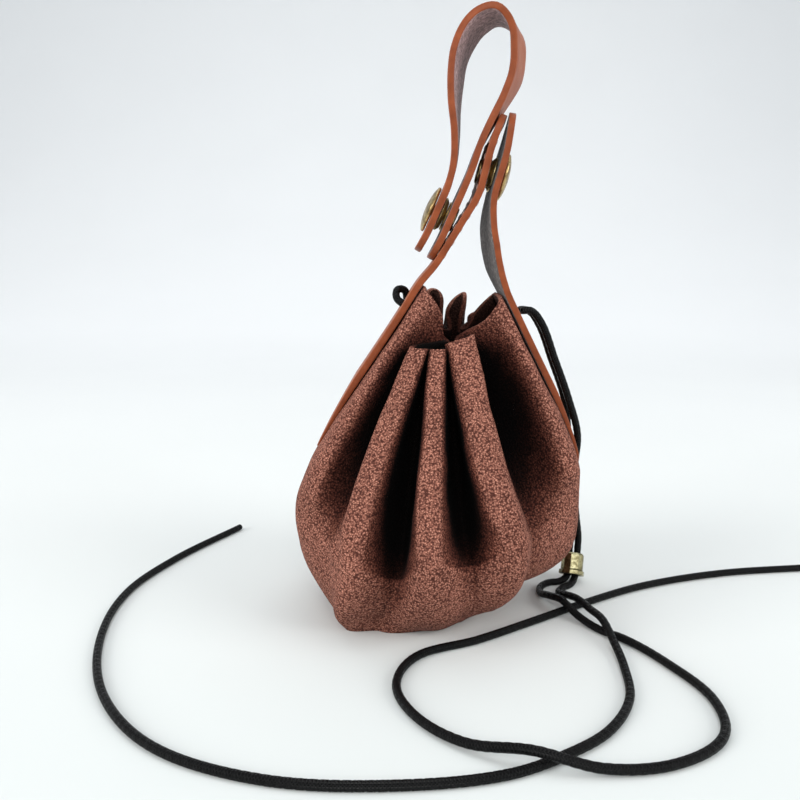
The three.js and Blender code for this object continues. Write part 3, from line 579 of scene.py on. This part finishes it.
# A flat grid whose vertices are then laid where place(column, row) says
def laid_grid(columns, rows, place):
    bm = bmesh.new()
    bm.loops.layers.uv.verify()
    bmesh.ops.create_grid(bm, x_segments=columns, y_segments=rows, size=0.5, calc_uvs=True)
    for vertex in bm.verts:
        column = round((vertex.co.x + 0.5) * columns)
        row = round((vertex.co.y + 0.5) * rows)
        vertex.co = place(column, row)
    return bm


# Guide lines of the bag's ridges and valleys
def at_azimuth(azimuth, radius, height):
    return Vector((radius * cos(radians(azimuth)), radius * sin(radians(azimuth)), height))


def at_height(point, height):
    return Vector((point.x, point.y, height))


def ridge_point(fold, level):
    low = at_azimuth(fold.azimuth, fold.belly, fold.height)
    top = Vector(fold.rim)
    swung = at_azimuth(fold.azimuth + fold.swing, fold.belly, fold.height)
    rise = top.z - low.z
    leave = at_height(swung, low.z + RIDGE_UPRIGHT * rise)
    arrive = at_height(top.lerp(swung, RIDGE_LEAN_OUT), top.z - RIDGE_LEAN_DOWN * rise)
    return bezier_point(low, leave, arrive, top, level)


def valley_point(valley, ridges, level):
    low = valley_start(valley, ridges)
    top = Vector(valley.top)
    deep = Vector((*valley.deep, 0))
    rise = top.z - low.z
    leave = at_height(low.lerp(deep, valley.reach), low.z + valley.lift)
    arrive = at_height(deep, low.z + DEEP_RISE * rise)
    return bezier_point(low, leave, arrive, top, level)


# Where a valley starts: on the belly between its two folds
def valley_start(valley, ridges):
    radius = (ridges[0].belly + ridges[1].belly) / 2 - valley.inset
    return at_azimuth(valley.crease, radius, valley.start)


def bezier_point(start, leave, arrive, end, share):
    rest = 1 - share
    near = start * rest ** 3 + leave * (3 * rest * rest * share)
    return near + arrive * (3 * rest * share * share) + end * share ** 3


def flat_direction(start, end):
    return Vector((end.x - start.x, end.y - start.y, 0)).normalized()


# Point between a ridge and a valley on a round section about a centre
def round_point(ridge, valley, centre, share):
    arm = Vector((ridge.x - centre.x, ridge.y - centre.y))
    other = Vector((valley.x - centre.x, valley.y - centre.y))
    turn = -arm.angle_signed(other)
    ease = smoothstep(share, 0, 1)
    reach = mix(arm.length, other.length, ease)
    direction = Matrix.Rotation(turn * share, 2) @ arm.normalized()
    x = centre.x + reach * direction.x
    y = centre.y + reach * direction.y
    return Vector((x, y, mix(ridge.z, valley.z, ease)))


# Places along half of a fold, from its crest to a valley. share: share of the way round.
# drop: share of the drop to the valley. across, depth: place across and into the fold, in half widths.
Station = namedtuple("Station", "share drop across depth")
PLEAT = [Station(0, 0, 0, 0), Station(0.16, 0.06, 0.7, 0.15), Station(0.36, 0.25, 1, 0.75)]
STRAPPED = [Station(0, 0, 0, 0), Station(0.2, 0.02, 0.72, 0.03), Station(0.4, 0.05, 1, 0.3)]
STRAPPED_RIM_DEPTH = 0.2
# The most that a fold is bent in, by its width and by the depth of the notch beside it.
# VALLEY_ROUND rounds the bottom of a valley, in half widths of it.
DEPTH_TO_WIDTH = 0.12
DEPTH_TO_NOTCH = 0.4
VALLEY_ROUND = 1.1
# The wall from a fold down to the valley: its middle and end, and how far along it the middle lies.
# Near the rim each valley has its own way. WALL_TILT is the share of the top's slope at the middle.
WallPoint = namedtuple("WallPoint", "share drop")
WALL_MIDDLE = WallPoint(0.6, 0.57)
WALL_END = WallPoint(0.85, 0.93)
WALL_WAY = 0.55
WALL_WAY_POWER = 3
WALL_TILT = 0.5


# Half the width of a fold at one level
def half_width(fold, level):
    return mix(fold.half_low, fold.half_rim, level * level if fold.strapped else level)


# Level direction across a fold. side: 1 towards the next fold, -1 towards the last.
def across_fold(inward, side):
    return Vector((inward.y * side, -inward.x * side, 0))


# The gap between two folds at one level. out: way out of its valley. half: half the valley's width.
# notch: its depth. centre: middle of the round section. folded: share of the full fold.
Gap = namedtuple("Gap", "level valley out half notch centre folded")


# Points of one side of a fold between its ridge and the valley of a gap
def half_fold(fold, ridge, inward, side, gap, rim_way):
    level = gap.level
    valley = gap.valley
    half = half_width(fold, level)
    across = across_fold(inward, side)
    beside = Vector((-gap.out.y, gap.out.x, 0)) * -side
    drops = []
    for station in STRAPPED if fold.strapped else PLEAT:
        lateral = station.across * half
        flat = mix(1, STRAPPED_RIM_DEPTH, level) if fold.strapped else 1
        depth = min(station.depth * flat * half, DEPTH_TO_WIDTH * lateral + DEPTH_TO_NOTCH * gap.notch)
        bent = ridge + across * lateral + inward * depth
        bent.z = mix(ridge.z, valley.z, station.drop) + side * fold.tilt * level * lateral
        drops.append((station.share, bent))
    rounding = min(VALLEY_ROUND * gap.half, DEPTH_TO_NOTCH * gap.notch)
    approach = valley + gap.out * rounding + beside * gap.half
    middle = drops[-1][1].lerp(approach, mix(WALL_WAY, rim_way, level ** WALL_WAY_POWER))
    middle.z = mix(ridge.z, valley.z, WALL_MIDDLE.drop) + WALL_TILT * side * fold.tilt * level * half
    approach.z = mix(ridge.z, valley.z, WALL_END.drop)
    drops += [(WALL_MIDDLE.share, middle), (WALL_END.share, approach)]
    points = []
    for share, bent in drops:
        points.append(round_point(ridge, valley, gap.centre, share).lerp(bent, gap.folded))
    return points


# One ring of the bag's outer surface, given the ridge and valley points at that level
def bag_ring(ridges, valleys, centre, level, folded):
    count = len(RIDGES)
    inward = []
    for k, fold in enumerate(RIDGES):
        throat = centre.to_3d() if fold.strapped else valleys[k - 1].lerp(valleys[k], 0.5)
        inward.append(flat_direction(ridges[k], throat))
    valley_half = mix(VALLEY_HALF_LOW, VALLEY_HALF_RIM, sqrt(level))
    ring = []
    for k in range(count):
        after = (k + 1) % count
        valley = valleys[k]
        edge = ridges[k] + across_fold(inward[k], 1) * half_width(RIDGES[k], level)
        next_edge = ridges[after] + across_fold(inward[after], -1) * half_width(RIDGES[after], level)
        valley_out = flat_direction(valley, edge.lerp(next_edge, 0.5))
        reaches = [hypot(p.x - centre.x, p.y - centre.y) for p in (ridges[k], ridges[after], valley)]
        notch = max(0, (reaches[0] + reaches[1]) / 2 - reaches[2])
        gap = Gap(level, valley, valley_out, valley_half, notch, centre, folded)
        ring += half_fold(RIDGES[k], ridges[k], inward[k], 1, gap, VALLEYS[k].before)
        ring.append(valley.copy())
        second = half_fold(RIDGES[after], ridges[after], inward[after], -1, gap, VALLEYS[k].after)
        ring += second[:0:-1]
    return ring


# Rings of the bag's outer surface from the foot to the rim
def bag_rings():
    middle = Vector((0, 0))
    neighbours = list(zip(VALLEYS, zip(RIDGES, RIDGES[1:] + RIDGES[:1])))
    rings = []
    for low in LOW_ROWS:
        outs = [mix(low.out, low.flat_out, fold.flat) for fold in RIDGES]
        ups = [mix(low.up, low.flat_up, fold.flat) for fold in RIDGES]
        ridges = []
        for fold, out, up in zip(RIDGES, outs, ups):
            azimuth = mix(fold.azimuth_foot, fold.azimuth, out * out)
            ridges.append(at_azimuth(azimuth, mix(fold.foot, fold.belly, out), fold.height * up))
        valleys = []
        for k, (valley, (fold, following)) in enumerate(neighbours):
            out = (outs[k] + outs[(k + 1) % len(outs)]) / 2
            up = (ups[k] + ups[(k + 1) % len(ups)]) / 2
            foot = (fold.foot + following.foot) / 2
            belly = (fold.belly + following.belly) / 2
            crease = mix(valley.crease_foot, valley.crease, out * out)
            radius = mix(foot, belly, out) - valley.inset * sqrt(out)
            valleys.append(at_azimuth(crease, radius, valley.start * up))
        rings.append(bag_ring(ridges, valleys, middle, 0, low.folded))
    for k in range(UPPER_ROWS + 1):
        level = (k / UPPER_ROWS) ** ROW_SPREAD
        folded = mix(BELLY_FOLDED, 1, smoothstep(level, 0, FOLD_FULL))
        ridges = [ridge_point(fold, level) for fold in RIDGES]
        valleys = [valley_point(valley, pair, level) for valley, pair in neighbours]
        rings.append(bag_ring(ridges, valleys, middle.lerp(MOUTH_CENTRE, level), level, folded))
    return rings


# How deep a point lies in the folds: the share of the light from all round that the folds keep from it,
# and its depth under the bag's convex hull. The suede's colour is darkened by it as painted shade.
SHADE_RAYS = 40
GOLDEN_TURN = pi * (3 - sqrt(5))
SHADE_REACH = 0.045
SHADE_LIFT = 0.0004
SHADE_PASSES = 2
SHADE_DEEP = 0.72
# The rims lie open to the light from this height, and keep this share of the shade
RIM_LOW = 0.086
RIM_HIGH = 0.1
RIM_SHADE = 0.55
# Depth under the bag's convex hull that counts as fully sunk, and its weight
SUNK_FULL = 0.02
SUNK_WEIGHT = 0.7


def fold_shade(bm):
    shade = bm.verts.layers.float.new(FOLD_SHADE)
    tree = BVHTree.FromBMesh(bm)
    hull = bmesh.new()
    for vertex in bm.verts:
        hull.verts.new(vertex.co)
    bmesh.ops.convex_hull(hull, input=hull.verts)
    hull_tree = BVHTree.FromBMesh(hull)
    hull.free()
    rays = []
    for k in range(SHADE_RAYS):
        height = sqrt((k + 0.5) / SHADE_RAYS)
        turn = k * GOLDEN_TURN
        flat = sqrt(1 - height * height)
        rays.append(Vector((flat * cos(turn), flat * sin(turn), height)))
    upright = Vector((0, 0, 1))
    for vertex in bm.verts:
        turn = upright.rotation_difference(vertex.normal)
        start = vertex.co + vertex.normal * SHADE_LIFT
        hits = sum(tree.ray_cast(start, turn @ ray, SHADE_REACH)[0] is not None for ray in rays)
        sunk = min(hull_tree.find_nearest(vertex.co)[3] / SUNK_FULL, 1)
        kept = mix(1, RIM_SHADE, smoothstep(vertex.co.z, RIM_LOW, RIM_HIGH))
        vertex[shade] = kept * mix(hits / SHADE_RAYS, 1, SUNK_WEIGHT * sunk)
    for _ in range(SHADE_PASSES):
        around = []
        for vertex in bm.verts:
            near = [edge.other_vert(vertex)[shade] for edge in vertex.link_edges]
            own = vertex[shade]
            around.append(max(own, *near) if own > SHADE_DEEP else own)
        for vertex, value in zip(bm.verts, around):
            vertex[shade] = value


# The gathered bag: one leather shell, its wall inside the outer surface
def gathered_bag(leather, inside, cut_edge):
    rings = [smooth_curve(ring, STEPS_ROUND, closed=True) for ring in bag_rings()]
    columns = [smooth_curve([ring[k] for ring in rings], STEPS_UP) for k in range(len(rings[0]))]
    base = Vector((0, 0, 0))

    def place(column, row):
        return base if row == 0 else columns[column % len(columns)][row - 1]

    bm = laid_grid(len(columns), len(columns[0]), place)
    bmesh.ops.remove_doubles(bm, verts=bm.verts, dist=MERGE_REACH)
    bmesh.ops.recalc_face_normals(bm, faces=bm.faces)
    bm.normal_update()
    for vertex in bm.verts:
        settle = smoothstep(vertex.co.z, RIPPLE_FROM, RIPPLE_FULL)
        ripple = sum(noise.noise(vertex.co * scale) * height for scale, height in RIPPLES)
        vertex.co += vertex.normal * ripple * settle
    bm.normal_update()
    fold_shade(bm)
    piece = finished("bag", bm, leather, inside, cut_edge)
    # The inner shell takes the darker inside suede, painted shade
    modify(
        piece, "wall", "SOLIDIFY", thickness=BAG_WALL, offset=-1,
        material_offset=1, material_offset_rim=2,
    )
    return piece


# Rows of a leather strip: place on the middle line, ways along, across and up, and distance along it
Row = namedtuple("Row", "place along across up distance")


def strip_rows(sections):
    curve = smooth_curve([Vector(place) for place, _ in sections], STRIP_FINE)
    tagged = []
    for k, point in enumerate(curve):
        span = min(k // STRIP_FINE, len(sections) - 2)
        turn = mix(sections[span][1], sections[span + 1][1], k / STRIP_FINE - span)
        tagged.append(Vector((*point, radians(turn))))
    even = even_points(tagged, STRIP_STEP)
    places = [tag.to_3d() for tag in even]
    rows = []
    distance = 0
    for k, (tag, place) in enumerate(zip(even, places)):
        before = places[max(k - 1, 0)]
        after = places[min(k + 1, len(places) - 1)]
        along = (after - before).normalized()
        across = Vector((sin(tag.w), cos(tag.w), 0))
        across = (across - along * across.dot(along)).normalized()
        distance += (place - before).length
        rows.append(Row(place, along, across, along.cross(across), distance))
    return rows


# A leather strip with round corners. skived: side that is pared at the first end, 1 or -1, or 0.
def leather_strip(name, rows, skived, materials):
    length = rows[-1].distance

    def place(column, row):
        here = rows[row]
        from_end = min(here.distance, length - here.distance, STRAP_CORNER)
        rounding = STRAP_CORNER - sqrt(max(STRAP_CORNER ** 2 - (STRAP_CORNER - from_end) ** 2, 0))
        lateral = (column / STRIP_COLUMNS - 0.5) * (STRAP_WIDTH - 2 * rounding)
        return here.place + here.across * lateral - here.up * (skived * paring(here.distance) / 2)

    bm = laid_grid(STRIP_COLUMNS, len(rows) - 1, place)
    bm.normal_update()
    if sum(face.normal.dot(rows[0].up) for face in bm.faces[:STRIP_COLUMNS]) < 0:
        bmesh.ops.reverse_faces(bm, faces=bm.faces)
    thickness = bm.verts.layers.deform.verify()
    for vertex in bm.verts:
        nearest = min(rows, key=lambda row: (row.place - vertex.co).length) if skived else rows[-1]
        share = 1 - paring(nearest.distance) / STRAP_THICKNESS if skived else 1
        vertex[thickness][0] = share
    piece = finished(name, bm, *materials)
    piece.vertex_groups.new(name="thickness")
    modify(
        piece, "thickness", "SOLIDIFY", thickness=STRAP_THICKNESS, offset=0, vertex_group="thickness",
        material_offset=1, material_offset_rim=2,
    )
    modify(
        piece, "edge", "BEVEL", width=STRAP_EDGE_ROUND, segments=STRAP_EDGE_STEPS,
        limit_method="ANGLE", angle_limit=radians(CRISP_ANGLE),
    )
    return piece


def paring(distance):
    return (STRAP_THICKNESS - SKIVED_THICKNESS) * max(0, 1 - distance / SKIVED_LENGTH)


# Sections of a strap that lies on a fold's ridge and then follows its own top sections
def strap_sections(fold, outward_sign, low_end, top_sections):
    sections = []
    for k in range(STRAP_SEATED_ROWS):
        level = mix(low_end, 1, k / (STRAP_SEATED_ROWS - 1))
        place = ridge_point(fold, level)
        along = ridge_point(fold, level) - ridge_point(fold, level - RIDGE_STEP)
        outward = Vector((outward_sign * along.z, 0, -outward_sign * along.x)).normalized()
        sections.append((place + outward * (SEAT_GAP + STRAP_THICKNESS / 2), 0))
    return sections + [((s.x, 0, s.z), s.turn) for s in top_sections]


# Flat stretch of leather under one side of a snap: -1 is the cap's side, 1 is the stud's
def snap_sections(snap, side):
    reach = side * (SNAP_GAP + STRAP_THICKNESS) / 2
    across = cos(radians(snap.slope))
    up = sin(radians(snap.slope))
    uphill = copysign(1, across)
    sections = []
    for end in (-1, 0, 1):
        x = snap.x + reach * across - end * SNAP_FLAT * up * uphill
        z = snap.z + reach * up + end * SNAP_FLAT * across * uphill
        sections.append(Section(x, z, 0))
    return sections


# The loop's sections are given at its near edge, so the middle is half a width further along the width
def loop_sections():
    near_edge = [LOOP_SNAPPED_END, *snap_sections(BELT_SNAP, -1), *LOOP_SECTIONS]
    near_edge += [*snap_sections(BELT_SNAP, 1)[::-1], LOOP_SEWN_END]
    half = STRAP_WIDTH / 2
    sections = []
    for section in near_edge:
        turn = radians(section.turn)
        middle = (section.x + half * sin(turn), half * (cos(turn) - 1), section.z)
        sections.append((middle, section.turn))
    return sections


# A profile of radii and heights turned round the Z axis
def turned(profile, steps):
    bm = bmesh.new()
    points = [bm.verts.new((radius, 0, height)) for radius, height in profile]
    for start, end in zip(points, points[1:]):
        bm.edges.new((start, end))
    bmesh.ops.spin(
        bm, geom=bm.verts[:] + bm.edges[:], cent=(0, 0, 0), axis=(0, 0, 1),
        angle=2 * pi, steps=steps, use_merge=True, use_duplicate=False,
    )
    bmesh.ops.remove_doubles(bm, verts=bm.verts, dist=MERGE_REACH)
    bmesh.ops.recalc_face_normals(bm, faces=bm.faces)
    return bm


# Place of a snap: its Z axis points from the cap to the stud
def snap_place(snap):
    turn = Matrix.Rotation(pi / 2 - radians(snap.slope), 4, "Y")
    return Matrix.Translation((snap.x, 0, snap.z)) @ turn


# Domed cap with a rolled lip, and the post behind it. Here and below, small numbers round the corners.
def cap_profile():
    crown = -SNAP_OUTSIDE - SNAP_CAP_DOME
    fall = SNAP_CAP_DOME - CAP_DOME_SEAT * SNAP_CAP_LIP
    dome = []
    for k in range(CAP_DOME_STEPS + 1):
        angle = radians(90 * k / CAP_DOME_STEPS)
        drop = 1 - cos(angle) ** CAP_DOME_POWER
        dome.append((CAP_DOME_SHARE * SNAP_CAP_RADIUS * sin(angle), crown + fall * drop))
    lip_radius = SNAP_CAP_RADIUS - SNAP_CAP_LIP
    lip_height = -SNAP_OUTSIDE - SNAP_CAP_LIP
    lip = []
    for k in range(CAP_LIP_STEPS + 1):
        angle = radians(CAP_LIP_FROM - CAP_LIP_TURN * k / CAP_LIP_STEPS)
        lip.append((lip_radius + SNAP_CAP_LIP * cos(angle), lip_height - SNAP_CAP_LIP * sin(angle)))
    back = [
        (SNAP_POST_RADIUS, -SNAP_OUTSIDE),
        (SNAP_POST_RADIUS, SOCKET_LOW + SNAP_CLEARANCE),
        (0, SOCKET_LOW + SNAP_CLEARANCE),
    ]
    return dome + lip + back


# Ring-shaped socket with a raised, rounded rim
def socket_profile():
    bore = SNAP_POST_RADIUS + SOCKET_BORE_GAP
    rim = SOCKET_RIM_SHARE * SNAP_SOCKET_RADIUS
    return [
        (bore, SOCKET_LOW),
        (0.96 * SNAP_SOCKET_RADIUS, SOCKET_LOW),
        (SNAP_SOCKET_RADIUS, SOCKET_LOW + 0.0002),
        (SNAP_SOCKET_RADIUS, SOCKET_LOW + 0.0005),
        (0.97 * SNAP_SOCKET_RADIUS, SOCKET_LOW + 0.00065),
        (rim + 0.0003, SOCKET_HIGH - 0.0004),
        (rim, SOCKET_HIGH - 0.0001),
        (rim - 0.0003, SOCKET_HIGH),
        (bore + 0.0003, SOCKET_HIGH),
        (bore, SOCKET_HIGH - 0.0003),
        (bore, SOCKET_LOW),
    ]


# Stud with its ball in the socket, and the rivet head on the far side of the leather
def stud_profile():
    ball = SOCKET_LOW + 3 * SNAP_CLEARANCE
    far = SNAP_OUTSIDE + SNAP_RIVET_DISC
    return [
        (0, ball),
        (0.55 * SNAP_POST_RADIUS, ball + 0.00003),
        (0.85 * SNAP_POST_RADIUS, ball + 0.0002),
        (SNAP_POST_RADIUS, ball + 0.00045),
        (0.85 * SNAP_POST_RADIUS, STUD_LOW),
        (SNAP_STUD_RADIUS - 0.0002, STUD_LOW),
        (SNAP_STUD_RADIUS, STUD_LOW + 0.0002),
        (SNAP_STUD_RADIUS, STUD_LOW + SNAP_STUD_DISC),
        (SNAP_RIVET_POST_RADIUS, STUD_LOW + SNAP_STUD_DISC),
        (SNAP_RIVET_POST_RADIUS, SNAP_OUTSIDE),
        (SNAP_RIVET_RADIUS, SNAP_OUTSIDE),
        (SNAP_RIVET_RADIUS, far - 0.0003),
        (0.9 * SNAP_RIVET_RADIUS, far - 0.00005),
        (0.75 * SNAP_RIVET_RADIUS, far),
        (0, far - 0.0001),
    ]


def snap_parts(name, snap, brass, socket_brass):
    place = snap_place(snap)
    profiles = {"cap": cap_profile(), "socket": socket_profile(), "stud": stud_profile()}
    for part, profile in profiles.items():
        bm = turned(profile, SNAP_STEPS)
        bmesh.ops.transform(bm, matrix=place, verts=bm.verts)
        piece = finished(f"{name}_{part}_turned", bm, socket_brass if part == "socket" else brass)
        modify(piece, "crisp edges", "EDGE_SPLIT", split_angle=radians(CRISP_ANGLE))
        on_bag(piece, "antique_brass", f"{name}_{part}")


# Faceted barrel with a flange, tilted on the floor behind the bag
def cord_stop(brass):
    low = -STOP_LENGTH / 2
    high = STOP_LENGTH / 2
    waist = high - STOP_FLANGE_LENGTH
    bm = turned([
        (STOP_BORE, low),
        (STOP_RADIUS - STOP_CHAMFER_RADIUS, low),
        (STOP_RADIUS, low + STOP_CHAMFER_LENGTH),
        (STOP_RADIUS, waist - STOP_GROOVE),
        (STOP_RADIUS - STOP_GROOVE, waist),
        (STOP_FLANGE_RADIUS, waist),
        (STOP_FLANGE_RADIUS, high),
        (STOP_BORE, high),
        (STOP_BORE, low),
    ], STOP_SIDES)
    turn = Vector((0, 0, 1)).rotation_difference(STOP_AXIS).to_matrix().to_4x4()
    bmesh.ops.transform(bm, matrix=Matrix.Translation(STOP_CENTRE) @ turn, verts=bm.verts)
    piece = finished("cord_stop_barrel", bm, brass)
    for face in piece.data.polygons:
        face.use_smooth = False
    modify(
        piece, "edge", "BEVEL", width=STOP_EDGE_ROUND, segments=STOP_EDGE_STEPS,
        limit_method="ANGLE", angle_limit=radians(STOP_CRISP_ANGLE),
    )
    return on_bag(piece, "antique_brass", "cord_stop")


# A braided cord along a route, with its own UV map: turns round the cord, and metres along it
def braided_cord(name, route, material):
    points = [Vector(point if len(point) == 3 else (*point, CORD_RADIUS)) for point in route]
    path = even_points(smooth_curve(points, CORD_FINE), CORD_STEP)
    rows = len(path) - 1
    total = length_of(path)
    along = (path[1] - path[0]).normalized()
    side = along.orthogonal().normalized()
    frames = []
    for k, point in enumerate(path):
        ahead = (path[min(k + 1, rows)] - path[max(k - 1, 0)]).normalized()
        side = (along.rotation_difference(ahead) @ side).normalized()
        along = ahead
        frames.append((point, side, ahead.cross(side)))

    def place(column, row):
        point, first, second = frames[row]
        angle = 2 * pi * column / CORD_SIDES
        run = total * row / rows
        phase = 2 * pi * BRAID_STRANDS * run / BRAID_PITCH
        turn = BRAID_STRANDS * angle
        strand = max(sin(turn + phase), sin(turn - phase))
        reach = CORD_RADIUS * (1 + BRAID_RELIEF * (strand - BRAID_MEAN))
        return point + first * (reach * cos(angle)) + second * (reach * sin(angle))

    bm = laid_grid(CORD_SIDES, rows, place)
    wrap = bm.loops.layers.uv.verify()
    for face in bm.faces:
        for loop in face.loops:
            loop[wrap].uv.y *= total
    bmesh.ops.remove_doubles(bm, verts=bm.verts, dist=MERGE_REACH)
    ends = [edge for edge in bm.edges if edge.is_boundary]
    bmesh.ops.holes_fill(bm, edges=ends, sides=CORD_SIDES)
    bmesh.ops.recalc_face_normals(bm, faces=bm.faces)
    return finished(name, bm, material), path


# Slanted stitches along both edges of the left strap, on both its faces
def seam_stitches(rows, thread):
    bm = bmesh.new()
    next_at = 0
    for row in rows:
        if not SEAM_LOW < row.place.z < SEAM_HIGH or row.distance < next_at:
            continue
        next_at = row.distance + STITCH_SPACING
        for edge in (-1, 1):
            for face in (-1, 1):
                place = row.place + row.across * edge * (STRAP_WIDTH / 2 - STITCH_INSET)
                place = place + row.up * face * STRAP_THICKNESS / 2
                turn = Matrix((row.along, row.across, row.up)).transposed().to_4x4()
                slant = Matrix.Rotation(radians(STITCH_SLANT * face), 4, "Z")
                size = Matrix.Diagonal((STITCH_LENGTH / 2, STITCH_THICKNESS, STITCH_HEIGHT, 1))
                matrix = Matrix.Translation(place) @ turn @ slant @ size
                bmesh.ops.create_uvsphere(
                    bm, u_segments=STITCH_SIDES, v_segments=STITCH_RINGS, radius=1, matrix=matrix,
                )
    return finished("seam_stitches", bm, thread)


# Floor that curves up into a backdrop
FLOOR_HALF_WIDTH = 3.0
FLOOR_FRONT = -2.0
FLOOR_BACK = 0.6
SWEEP_RADIUS = 1.2
SWEEP_STEPS = 16
BACKDROP_TOP = 3.0
# Range along Y over which the floor's colour runs from dark to light: painted shade towards the front
TONE_FRONT = -0.1
TONE_BACK = 1.1


def pale_backdrop():
    finish = Finish("pale_backdrop")
    split = finish.node("ShaderNodeSeparateXYZ", {"Vector": finish.place["Object"]}).outputs
    from_front = finish.math("SUBTRACT", split["Y"], TONE_FRONT)
    far = finish.math("DIVIDE", from_front, TONE_BACK - TONE_FRONT)
    # Painted shade: the floor is darker near the front and lighter towards the backdrop
    tone = finish.ramp(far, [
        (0.0, (0.68, 0.71, 0.7, 1)),
        (0.2, (0.77, 0.79, 0.78, 1)),
        (0.8, (0.95, 0.96, 0.965, 1)),
    ])
    fibres = finish.ramp(finish.noise(scale=6, detail=2), [(0.3, grey(0.985)), (0.7, grey(1.0))])
    finish.set(Base_Color=finish.multiply(tone, fibres), Roughness=0.7, Specular_IOR_Level=0.2)
    profile = [(FLOOR_FRONT, 0), (FLOOR_BACK, 0)]
    for k in range(1, SWEEP_STEPS + 1):
        angle = radians(90 * k / SWEEP_STEPS)
        profile.append((FLOOR_BACK + SWEEP_RADIUS * sin(angle), SWEEP_RADIUS * (1 - cos(angle))))
    profile.append((FLOOR_BACK + SWEEP_RADIUS, BACKDROP_TOP))
    bm = bmesh.new()
    left = [bm.verts.new((-FLOOR_HALF_WIDTH, y, z)) for y, z in profile]
    edges = [bm.edges.new(pair) for pair in zip(left, left[1:])]
    swept = bmesh.ops.extrude_edge_only(bm, edges=edges)["geom"]
    moved = [part for part in swept if isinstance(part, bmesh.types.BMVert)]
    bmesh.ops.translate(bm, verts=moved, vec=(2 * FLOOR_HALF_WIDTH, 0, 0))
    bmesh.ops.recalc_face_normals(bm, faces=bm.faces)
    if bm.faces[0].normal.z < 0:
        bmesh.ops.reverse_faces(bm, faces=bm.faces)
    finished("pale_floor", bm, finish.material)


# Soft studio light. place, aim: where a softbox stands and what it faces. size: width. power: watts.
Softbox = namedtuple("Softbox", "name place aim size power colour")
SOFTBOXES = [
    Softbox("left_softbox", (-0.95, -0.5, 0.5), (0, 0, 0.06), 0.7, 9, (1, 0.99, 0.97)),
    Softbox("right_softbox", (0.95, -0.5, 0.5), (0, 0, 0.06), 0.7, 8, (1, 0.99, 0.97)),
    Softbox("front_softbox", (0.0, -1.2, 0.8), (0, 0, 0.05), 0.6, 5, (1, 0.99, 0.97)),
    Softbox("top_softbox", (0.0, 0.3, 1.5), (0, 0, 0), 1.4, 8, (0.97, 0.99, 1)),
]
WORLD_COLOUR = (0.9, 0.95, 1.0, 1)
WORLD_STRENGTH = 0.5


def studio_light():
    for softbox in SOFTBOXES:
        data = bpy.data.lights.new(softbox.name, "AREA")
        data.shape = "SQUARE"
        data.size = softbox.size
        data.energy = softbox.power
        data.color = softbox.colour
        lamp = bpy.data.objects.new(softbox.name, data)
        lamp.location = softbox.place
        aim = Vector(softbox.aim) - Vector(softbox.place)
        lamp.rotation_euler = aim.to_track_quat("-Z", "Y").to_euler()
        bpy.context.scene.collection.objects.link(lamp)
    world = bpy.data.worlds.new("studio")
    world.use_nodes = True
    background = world.node_tree.nodes["Background"]
    background.inputs["Color"].default_value = WORLD_COLOUR
    background.inputs["Strength"].default_value = WORLD_STRENGTH
    bpy.context.scene.world = world
    bpy.context.scene.view_settings.view_transform = "Standard"


# Camera and cords
photo_camera()
braid = waxed_braid()
brass = antique_brass("antique_brass", *ANTIQUE_BRASS)
pale_brass = antique_brass("pale_brass", *PALE_BRASS)
stop = cord_stop(pale_brass)
gather, _ = braided_cord("drawstring_in_mouth", GATHER_ROUTE, braid)
on_bag(gather, "waxed_cord", "drawstring_gather")
end_a, path_a = braided_cord("drawstring_free_end_a", END_A_ROUTE, braid)
on_bag(end_a, "waxed_cord", "drawstring_end_a")
end_b, path_b = braided_cord("drawstring_free_end_b", END_B_ROUTE, braid)
on_bag(end_b, "waxed_cord", "drawstring_end_b")
length_of(path_a)
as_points(path_a)
length_of(path_b)
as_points(path_b)

# Bag
suede = pebbled_suede("pebbled_suede", *OUTER_SUEDE)
cut_suede = pebbled_suede("cut_suede", *CUT_SUEDE)
# Darker suede on the inner wall: painted shade inside the bag
inner_suede_painted_shade = pebbled_suede("inner_suede_painted_shade", *INNER_SUEDE_PAINTED_SHADE)
bag = on_bag(gathered_bag(suede, inner_suede_painted_shade, cut_suede), "suede", "bag_body")

# Straps, loop and seam
grain_side = tan_leather()
edge_paint = painted_edge()
rosy_flesh = flesh_side("rosy_flesh", *ROSY_FLESH)
grey_flesh = flesh_side("grey_flesh", *GREY_FLESH)
leathers = (grain_side, rosy_flesh, edge_paint)
outside_in = (grey_flesh, grain_side, edge_paint)
left_top = LEFT_STRAP_RISE + snap_sections(CLOSURE_SNAP, 1) + [LEFT_STRAP_END]
left_rows = strip_rows(strap_sections(LEFT_FOLD, -1, LEFT_STRAP_LOW_END, left_top))
on_bag(leather_strip("left_strap_leather", left_rows, 1, leathers), "tan_leather", "strap_left")
right_top = RIGHT_STRAP_RISE + snap_sections(CLOSURE_SNAP, -1) + [RIGHT_STRAP_END]
right_rows = strip_rows(strap_sections(RIGHT_FOLD, 1, RIGHT_STRAP_LOW_END, right_top))
on_bag(leather_strip("right_strap_leather", right_rows, -1, outside_in), "tan_leather", "strap_right")
loop_rows = strip_rows(loop_sections())
on_bag(leather_strip("belt_loop_leather", loop_rows, 0, leathers), "tan_leather", "belt_loop")
on_bag(seam_stitches(left_rows, seam_thread()), "tan_leather")

# Snaps
# The sockets get lighter brass as a painted highlight
painted_highlight_brass = antique_brass("painted_highlight_brass", *HIGHLIGHT_BRASS)
snap_parts("belt_snap", BELT_SNAP, brass, painted_highlight_brass)
snap_parts("closure_snap", CLOSURE_SNAP, brass, painted_highlight_brass)

# Studio
pale_backdrop()
studio_light()
